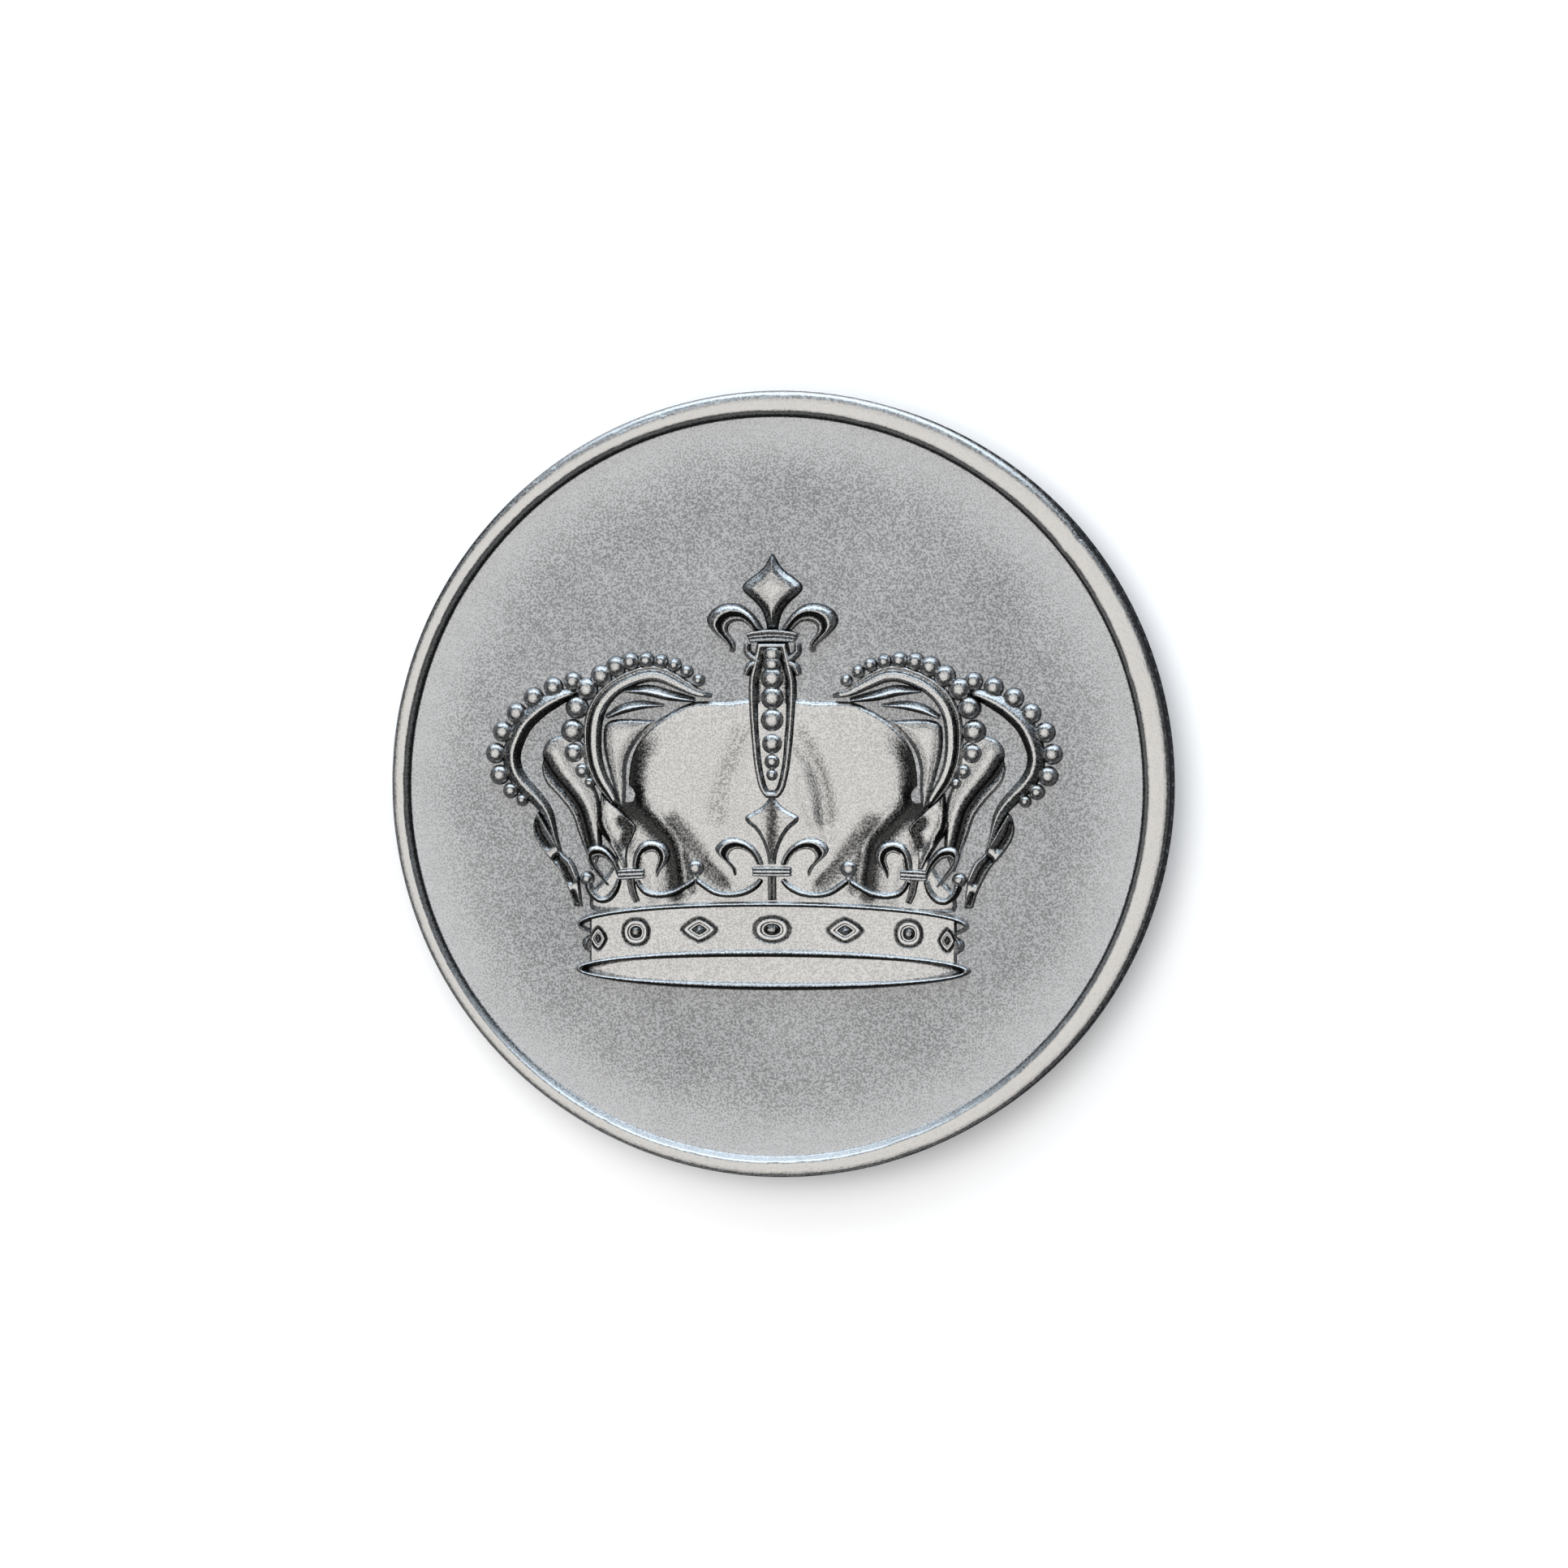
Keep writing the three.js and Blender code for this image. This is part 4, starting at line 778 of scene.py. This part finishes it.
# ------------------------------------------ swags
# Thin rolled swags hang between the fleurs along the top of the circlet. Each is a round bead in
# section, so it has a bright upper flank and a dark lower one.
INNER_SWAG = [
    (-0.3, -3.02, 0.1), (-0.55, -3.28, 0.13), (-0.95, -3.48, 0.12), (-1.42, -3.54, 0.11),
    (-1.85, -3.46, 0.12), (-2.2, -3.24, 0.13), (-2.44, -3.06, 0.12),
]
OUTER_SWAG = [
    (-2.47, -3.08, 0.12), (-2.8, -3.28, 0.12), (-3.2, -3.48, 0.12), (-3.62, -3.56, 0.13),
    (-4.0, -3.5, 0.13), (-4.24, -3.3, 0.12), (-4.36, -3.06, 0.1),
]
END_SWAG = [
    (-4.9, -3.05, 0.1), (-5.04, -3.42, 0.13), (-5.28, -3.68, 0.13), (-5.56, -3.72, 0.12),
    (-5.8, -3.52, 0.12), (-5.95, -3.22, 0.12),
]
SWAG_FULLNESS = 1.25
# across the roll from its upper side to its lower side
ROLL_SECTION = ((0, 0.12, 0.34, 0.5, 0.62, 0.8, 1), (FOOT, 0.14, 0.26, 0.285, 0.26, 0.13, FOOT))
# painted shade down the lower flank of the roll, and a painted highlight on its upper flank
ROLL_TONE = ((0, 0.08, 0.2, 0.42, 0.5, 0.62, 1), (0.5, 0.1, -0.2, -0.2, 0.6, 1.0, 1.0))
for which, line in (("inner", INNER_SWAG), ("outer", OUTER_SWAG), ("end", END_SWAG)):
    spine = [(x, y, SWAG_FULLNESS * half_width) for x, y, half_width in line]
    raise_pair("swag_roll_" + which, [rib(spine, 70, 20, ROLL_SECTION, ROLL_TONE)], "swag_" + which)

# -------------------------------- cresting pearls
# A single pearl tops each point where two swags meet, and a smaller one closes each end of the row.
# They strike up from round hollows, as the arches' pearls do.
bodies = [pearl(-2.46, -2.7, 0.27, 0.27, 44), pearl(-2.46, -3.0, 0.13, 0.2, 24)]
raise_pair("cresting_pearl", bodies, "crest_pearl")
raise_pair("cresting_end_pearl", [pearl(-5.97, -3.04, 0.22, 0.26, 40)], "end_pearl")

# ---------------------------------- fleur collars
# A collar of three rolls binds each fleur on the circlet, over a stem of two fine ribs that runs
# down behind the swags to the moulding.
TRIPLE_SECTION = ((0, 0.08, 0.2, 0.3, 0.36, 0.42, 0.6, 0.66, 0.72, 0.84, 0.94, 1),
                  (FOOT, 0.24, 0.295, 0.29, 0.19, 0.295, 0.295, 0.19, 0.29, 0.295, 0.22, FOOT))
# painted shade on the walls of the collar's rolls and the stem's ribs, deepest between them
TRIPLE_TONE = ((0, 0.06, 0.12, 0.28, 0.35, 0.42, 0.58, 0.65, 0.72, 0.88, 0.95, 1),
               (0.8, 0.2, 0, 0, 0.85, 0, 0, 0.85, 0, 0, 0.3, 0.8))
STEM_SECTION = ((0, 0.1, 0.26, 0.42, 0.5, 0.58, 0.74, 0.9, 1),
                (FOOT, 0.17, 0.25, 0.19, 0.14, 0.19, 0.25, 0.17, FOOT))
STEM_TONE = ((0, 0.1, 0.2, 0.34, 0.5, 0.66, 0.8, 0.9, 1), (0.8, 0.4, 0, 0.1, 0.8, 0.1, 0, 0.4, 0.8))


def collar_net(x, y, half_width, half_height, lean):
    """A bar with rounded ends that leans a little."""
    across = np.linspace(-1, 1, 9)
    tuck = 1 - 0.12 * np.abs(across) ** 6
    top = [(x + half_width * t, y + half_height * k + lean * half_width * t) for t, k in zip(across, tuck)]
    foot = [(x + half_width * t, y - half_height * k + lean * half_width * t) for t, k in zip(across, tuck)]
    return span(top, foot, 50, 40)


bodies = [collar(collar_net(0, -2.79, 0.65, 0.19, 0), TRIPLE_SECTION, TRIPLE_TONE),
          rib([(0, -2.9, 0.17), (0, -3.3, 0.165), (0, -3.72, 0.16)], 30, 24, STEM_SECTION, STEM_TONE)]
raise_relief("centre_collar_rolls", bodies, "centre_collar")
SIDE_STEM = [(-4.56, -3.0, 0.17), (-4.48, -3.45, 0.15), (-4.34, -3.8, 0.12)]
bodies = [
    collar(collar_net(-4.53, -2.89, 0.46, 0.2, 0.052), TRIPLE_SECTION, TRIPLE_TONE),
    rib(SIDE_STEM, 30, 24, STEM_SECTION, STEM_TONE),
]
raise_pair("fleur_collar_rolls", bodies, "fleur_collar")

# ------------------------------------- ring floor
# The underside of the circlet shows as a flat oval inside its base ring, frosted like the band. It is
# struck flat, a little above the field.
BASE_RING = {"y": -5.915, "half_width": 6.35, "half_height": 0.665, "band": 0.28}
turn = np.linspace(0, 2 * math.pi, 240, endpoint=False)
oval = np.column_stack([6.2 * np.cos(turn), BASE_RING["y"] + 0.5 * np.sin(turn)])
share = np.linspace(0, 1, 16)[:, None, None]
net = np.array([0, BASE_RING["y"]]) * (1 - share) + oval * share
height = np.full(net.shape[:2], 0.12)
height[-1] = FOOT
raise_relief("ring_floor_plate", [heaped(net, height, form="dome")], "ring_floor", soft=True)

# ----------------------------------- circlet band
# The band of the circlet curves round the brow, so it is drawn between two flat ovals. A groove is
# cut round each jewel's setting.
TOP_ARC = {"y": -4.38, "half_width": 6.3, "half_height": 0.66, "band": 0.24}
BAND_HALF_WIDTH = 5.95
# (x, y, half width, half height, power of the outline: 2 is an oval, 1.3 a lozenge with soft sides)
CENTRE_JEWEL = (0, -4.63, 0.53, 0.36, 2.1)
LOZENGE_JEWEL = (-2.34, -4.65, 0.52, 0.34, 1.25)
ROUND_JEWEL = (-4.38, -4.74, 0.38, 0.38, 2.2)
SMALL_JEWEL = (-5.6, -4.95, 0.22, 0.32, 1.3)


def oval_arc(shape, down, reach, count):
    """Places on the upper half of a flat oval, let down a little."""
    x = -reach * np.cos(np.linspace(0, math.pi, count))
    lift = shape["half_height"] * np.sqrt(np.clip(1 - (x / shape["half_width"]) ** 2, 0, 1))
    return np.column_stack([x, shape["y"] + lift - down])


def setting(x, y, half_width, half_height, power):
    """The outline of a jewel's setting."""
    turn = np.linspace(0, 2 * math.pi, 72, endpoint=False)
    cos, sin = np.cos(turn), np.sin(turn)
    return np.column_stack([
        x + half_width * np.sign(cos) * np.abs(cos) ** (2 / power),
        y + half_height * np.sign(sin) * np.abs(sin) ** (2 / power),
    ])


share = np.linspace(0, 1, 40)[:, None]
top = oval_arc(TOP_ARC, 0.12, BAND_HALF_WIDTH, 360)
foot = oval_arc(BASE_RING, 0.12, BAND_HALF_WIDTH, 360)
waist = np.sin(share * math.pi) * 0.06
net = top[:, None] * (1 - share) + foot[:, None] * share
net[..., 0] *= 1 - waist[:, 0] / BAND_HALF_WIDTH
cut = np.full(net.shape[:2], 1e9)
for sizes in (CENTRE_JEWEL, LOZENGE_JEWEL, ROUND_JEWEL, SMALL_JEWEL):
    for mirrored in (1, -1):
        loop = setting(*sizes) * (mirrored, 1)
        cut = np.minimum(cut, distance(net, np.vstack([loop, loop[:1]])))
ends = ease((BAND_HALF_WIDTH - 0.02 - np.abs(net[..., 0])) / 0.12)
height = FOOT + (0.13 - FOOT) * ends - 0.07 * np.exp(-((cut / 0.05) ** 2))
# painted shade in the groove round each setting and at both ends of the band
tone = 0.7 * np.exp(-((cut / 0.045) ** 2)) + 0.6 * (1 - ends)
raise_relief("circlet_band_face", [heaped(net, height, tone)], "circlet_band", soft=True)

# ----------------------------------------- jewels
# The jewels stand in settings struck with the band: an oval in the middle, then a lozenge, a round
# stone and a small lozenge on each side. Each has a raised frame, a groove, and a domed or cut stone.
# from the middle outwards: share of the setting's width, height in mm, painted shade, a painted highlight
# where below 0
JEWEL_PAINTED_LIGHT = (0.1, 0.5, 0.85, 0.98, 0.4, -0.2, -0.2, 0.6, 0.98)
DOMED_STONE = ((0, 0.25, 0.42, 0.52, 0.57, 0.63, 0.69, 0.91, 0.96, 1),
               (0.27, 0.26, 0.21, 0.13, 0.1, 0.13, 0.2, 0.205, 0.16, 0.06))
DOMED_TONE = ((0, 0.2, 0.45, 0.56, 0.62, 0.67, 0.92, 0.96, 1), JEWEL_PAINTED_LIGHT)
CUT_STONE = ((0, 0.52, 0.57, 0.63, 0.69, 0.91, 0.96, 1), (0.28, 0.12, 0.1, 0.14, 0.2, 0.205, 0.16, 0.06))
CUT_TONE = ((0, 0.2, 0.45, 0.57, 0.62, 0.67, 0.92, 0.96, 1), JEWEL_PAINTED_LIGHT)


def jewel(sizes, section, tone):
    """A jewel in its setting, as rings from the middle of the stone to the foot of the frame."""
    share = np.concatenate([np.linspace(0, 1, 34), [1.0]])[:, None, None]
    middle = np.array(sizes[:2])
    net = middle * (1 - share) + setting(*sizes) * share
    height = np.interp(share[:, 0, 0], *section)
    height[-1] = FOOT
    return heaped(net, height[:, None], np.interp(share[:, 0, 0], *tone)[:, None], "dome")


raise_relief("jewel_oval_stone", [jewel(CENTRE_JEWEL, DOMED_STONE, DOMED_TONE)], "jewel_centre")
raise_pair("jewel_lozenge_stone", [jewel(LOZENGE_JEWEL, CUT_STONE, CUT_TONE)], "jewel_lozenge")
raise_pair("jewel_round_stone", [jewel(ROUND_JEWEL, DOMED_STONE, DOMED_TONE)], "jewel_round")
raise_pair("jewel_small_stone", [jewel(SMALL_JEWEL, CUT_STONE, CUT_TONE)], "jewel_small")

# ------------------------------------- edge studs
# At each end of the circlet a jewel on the far side shows as half a lozenge past the band's edge. It
# is struck as one bevelled lump, without a frame.
STUD_OUTER = [(-5.86, -4.8), (-6.09, -4.92), (-6.17, -5.1), (-6.09, -5.3), (-5.86, -5.44)]
STUD_INNER = [(-5.8, -4.84), (-5.82, -5.1), (-5.8, -5.4)]
net = span(STUD_OUTER, STUD_INNER, 40, 20)
inside = distance(net, outline(net))
height = FOOT + (0.2 - FOOT) * np.clip(inside / 0.16, 0, 1)
# painted shade round the stud's foot
tone = 0.7 * ease((0.07 - inside) / 0.06)
raise_pair("edge_stud_cut", [heaped(net, height, tone)], "edge_stud")

# -------------------------------------- mouldings
# A rolled moulding runs along the top of the circlet, and another goes right round its open base.
# Each has a light upper flank and a steep lower one.
BASE_ROLL = ((0, 0.12, 0.3, 0.5, 0.7, 0.88, 1), (FOOT, 0.16, 0.27, 0.29, 0.27, 0.16, 0.05))
turn = np.radians(np.linspace(-24, 204, 90))
spine = np.column_stack([
    (TOP_ARC["half_width"] - 0.1) * np.cos(turn),
    TOP_ARC["y"] - TOP_ARC["band"] / 2 + TOP_ARC["half_height"] * np.sin(turn),
    np.interp(turn, np.radians([-24, 0, 20, 160, 180, 204]), (0.07, 0.1, 0.125, 0.125, 0.1, 0.07)),
])
raise_relief("moulding_roll_top", [rib(spine, 300, 26, ROLL_SECTION, ROLL_TONE)], "moulding_top")

turn = np.linspace(0, 2 * math.pi, 360, endpoint=False)
loop = np.column_stack([np.cos(turn), np.sin(turn)])
rows = []
for step in across_steps(26):
    inset = BASE_RING["band"] * step
    lift = float(np.interp(step, *BASE_ROLL))
    size = np.array([BASE_RING["half_width"] - inset, BASE_RING["half_height"] - inset])
    ring = loop * size + (0, BASE_RING["y"])
    # the lower flank is the one towards the foot of the crown: outside below, inside above; it gets the
    # painted shade, and the upper flank a painted highlight
    slant = ease(np.abs(loop[:, 1]) / 0.25)
    downhill = np.where(loop[:, 1] > 0, step, 1 - step)
    tone = slant * np.interp(downhill, *ROLL_TONE) + (1 - slant) * np.interp(step, *ROUND_TONE)
    rows.append(np.column_stack([ring, np.full(360, lift), tone]))
# the foot of the ring drops below the field, fully painted in shade
for inset in (BASE_RING["band"], 0):
    ring = loop * (BASE_RING["half_width"] - inset, BASE_RING["half_height"] - inset) + (0, BASE_RING["y"])
    rows.append(np.column_stack([ring, np.full(360, UNDERSIDE), np.ones(360)]))
raise_relief("moulding_roll_base", [(np.array(rows), "ring")], "base_ring")

# ------------------------------- floor and lights
# A plain pale sheet lies under the token. A softbox overhead lights the frosted flats, a cool window
# light beyond the finial lights the walls, and a lamp and a panel light the sheet alone. The room is
# dark overhead and pale round about.
floor_mesh = bpy.data.meshes.new("floor")
grid = bmesh.new()
bmesh.ops.create_grid(grid, x_segments=12, y_segments=12, size=1.2)
grid.to_mesh(floor_mesh)
grid.free()
floor = bpy.data.objects.new("floor", floor_mesh)
bpy.context.scene.collection.objects.link(floor)
floor.location.z = blank_low.z - 0.00002
paper = bpy.data.materials.new("pale_sheet")
paper.use_nodes = True
coat = paper.node_tree.nodes["Principled BSDF"].inputs
coat["Base Color"].default_value = (0.9, 0.9, 0.9, 1)
coat["Roughness"].default_value = 0.9
floor_mesh.materials.append(paper)
floor.visible_glossy = False


def softbox(name, place, size, watts, colour, shape="DISK", in_metal=True):
    """A soft area light that faces the token. Unless it is in_metal, the metal doesn't reflect it."""
    light = bpy.data.lights.new(name, "AREA")
    light.shape = shape
    light.size = size[0]
    if shape == "RECTANGLE":
        light.size_y = size[1]
    light.energy = watts
    light.color = colour
    box = bpy.data.objects.new(name, light)
    bpy.context.scene.collection.objects.link(box)
    box.location = place
    box.rotation_mode = "QUATERNION"
    box.rotation_quaternion = (Vector((0, 0, 0)) - Vector(place)).to_track_quat("-Z", "Y")
    box.visible_camera = False
    box.visible_glossy = in_metal


softbox("overhead_softbox", (-0.0858, -0.012, 0.5937), (0.5, 0.5), 0.7, (1.0, 0.985, 0.96))
softbox("window_light", (0.0, 0.62, 0.3), (1.0, 0.5), 3.4, (0.72, 0.86, 1.0), "RECTANGLE")
softbox("sheet_lamp", (-0.35, 0.35, 0.5), (0.8, 0.8), 2.4, (1.0, 1.0, 1.0), in_metal=False)
softbox("sheet_panel", (0, 0, 0.7), (1.0, 1.0), 4.9, (1.0, 1.0, 1.0), in_metal=False)
world = bpy.data.worlds.new("dim_room")
world.use_nodes = True
room, joins = world.node_tree.nodes, world.node_tree.links
towards = room.new("ShaderNodeSeparateXYZ")
joins.new(room.new("ShaderNodeTexCoord").outputs["Generated"], towards.inputs[0])
upness = room.new("ShaderNodeMapRange")
upness.inputs["From Min"].default_value = -1.0
joins.new(towards.outputs["Z"], upness.inputs["Value"])
pale = room.new("ShaderNodeValToRGB")
# (place from straight below to straight above, how bright the room is there)
bands = (
    (0.0, 0.02), (0.08, 0.02), (0.18, 0.45), (0.47, 0.6), (0.51, 0.13), (0.62, 0.11), (0.74, 0.028),
    (1.0, 0.022),
)
for _ in bands[2:]:
    pale.color_ramp.elements.new(0.5)
for stop, (place, glow) in zip(pale.color_ramp.elements, bands):
    stop.position = place
    stop.color = (glow, glow * 1.04, glow * 1.12, 1)
joins.new(upness.outputs["Result"], pale.inputs["Fac"])
joins.new(pale.outputs["Color"], room["Background"].inputs["Color"])
bpy.context.scene.world = world
bpy.context.scene.view_settings.view_transform = "Standard"

# ----------------------------------------- camera
# A long lens looks almost straight down, from a little to the right, and takes in a wide margin of
# sheet all round the token.
LENS = 150
SENSOR = 36
SHOWN_WIDTH = 0.05
TILT = math.radians(8.3)
TOWARDS = math.radians(8.0)
aim = Vector((0.000075, -0.000004, THICK / 2))
back = Vector((math.sin(TILT) * math.cos(TOWARDS), math.sin(TILT) * math.sin(TOWARDS), math.cos(TILT)))
camera_data = bpy.data.cameras.new("camera")
camera_data.lens = LENS
camera_data.sensor_width = SENSOR
camera_data.clip_start = 0.01
camera_data.clip_end = 10
camera = bpy.data.objects.new("camera", camera_data)
bpy.context.scene.collection.objects.link(camera)
camera.location = aim + back * (SHOWN_WIDTH / SENSOR * LENS)
right = Vector((0, 1, 0)).cross(back).normalized()
up = back.cross(right)
camera.rotation_mode = "QUATERNION"
camera.rotation_quaternion = Matrix((right, up, back)).transposed().to_quaternion()
bpy.context.scene.camera = camera
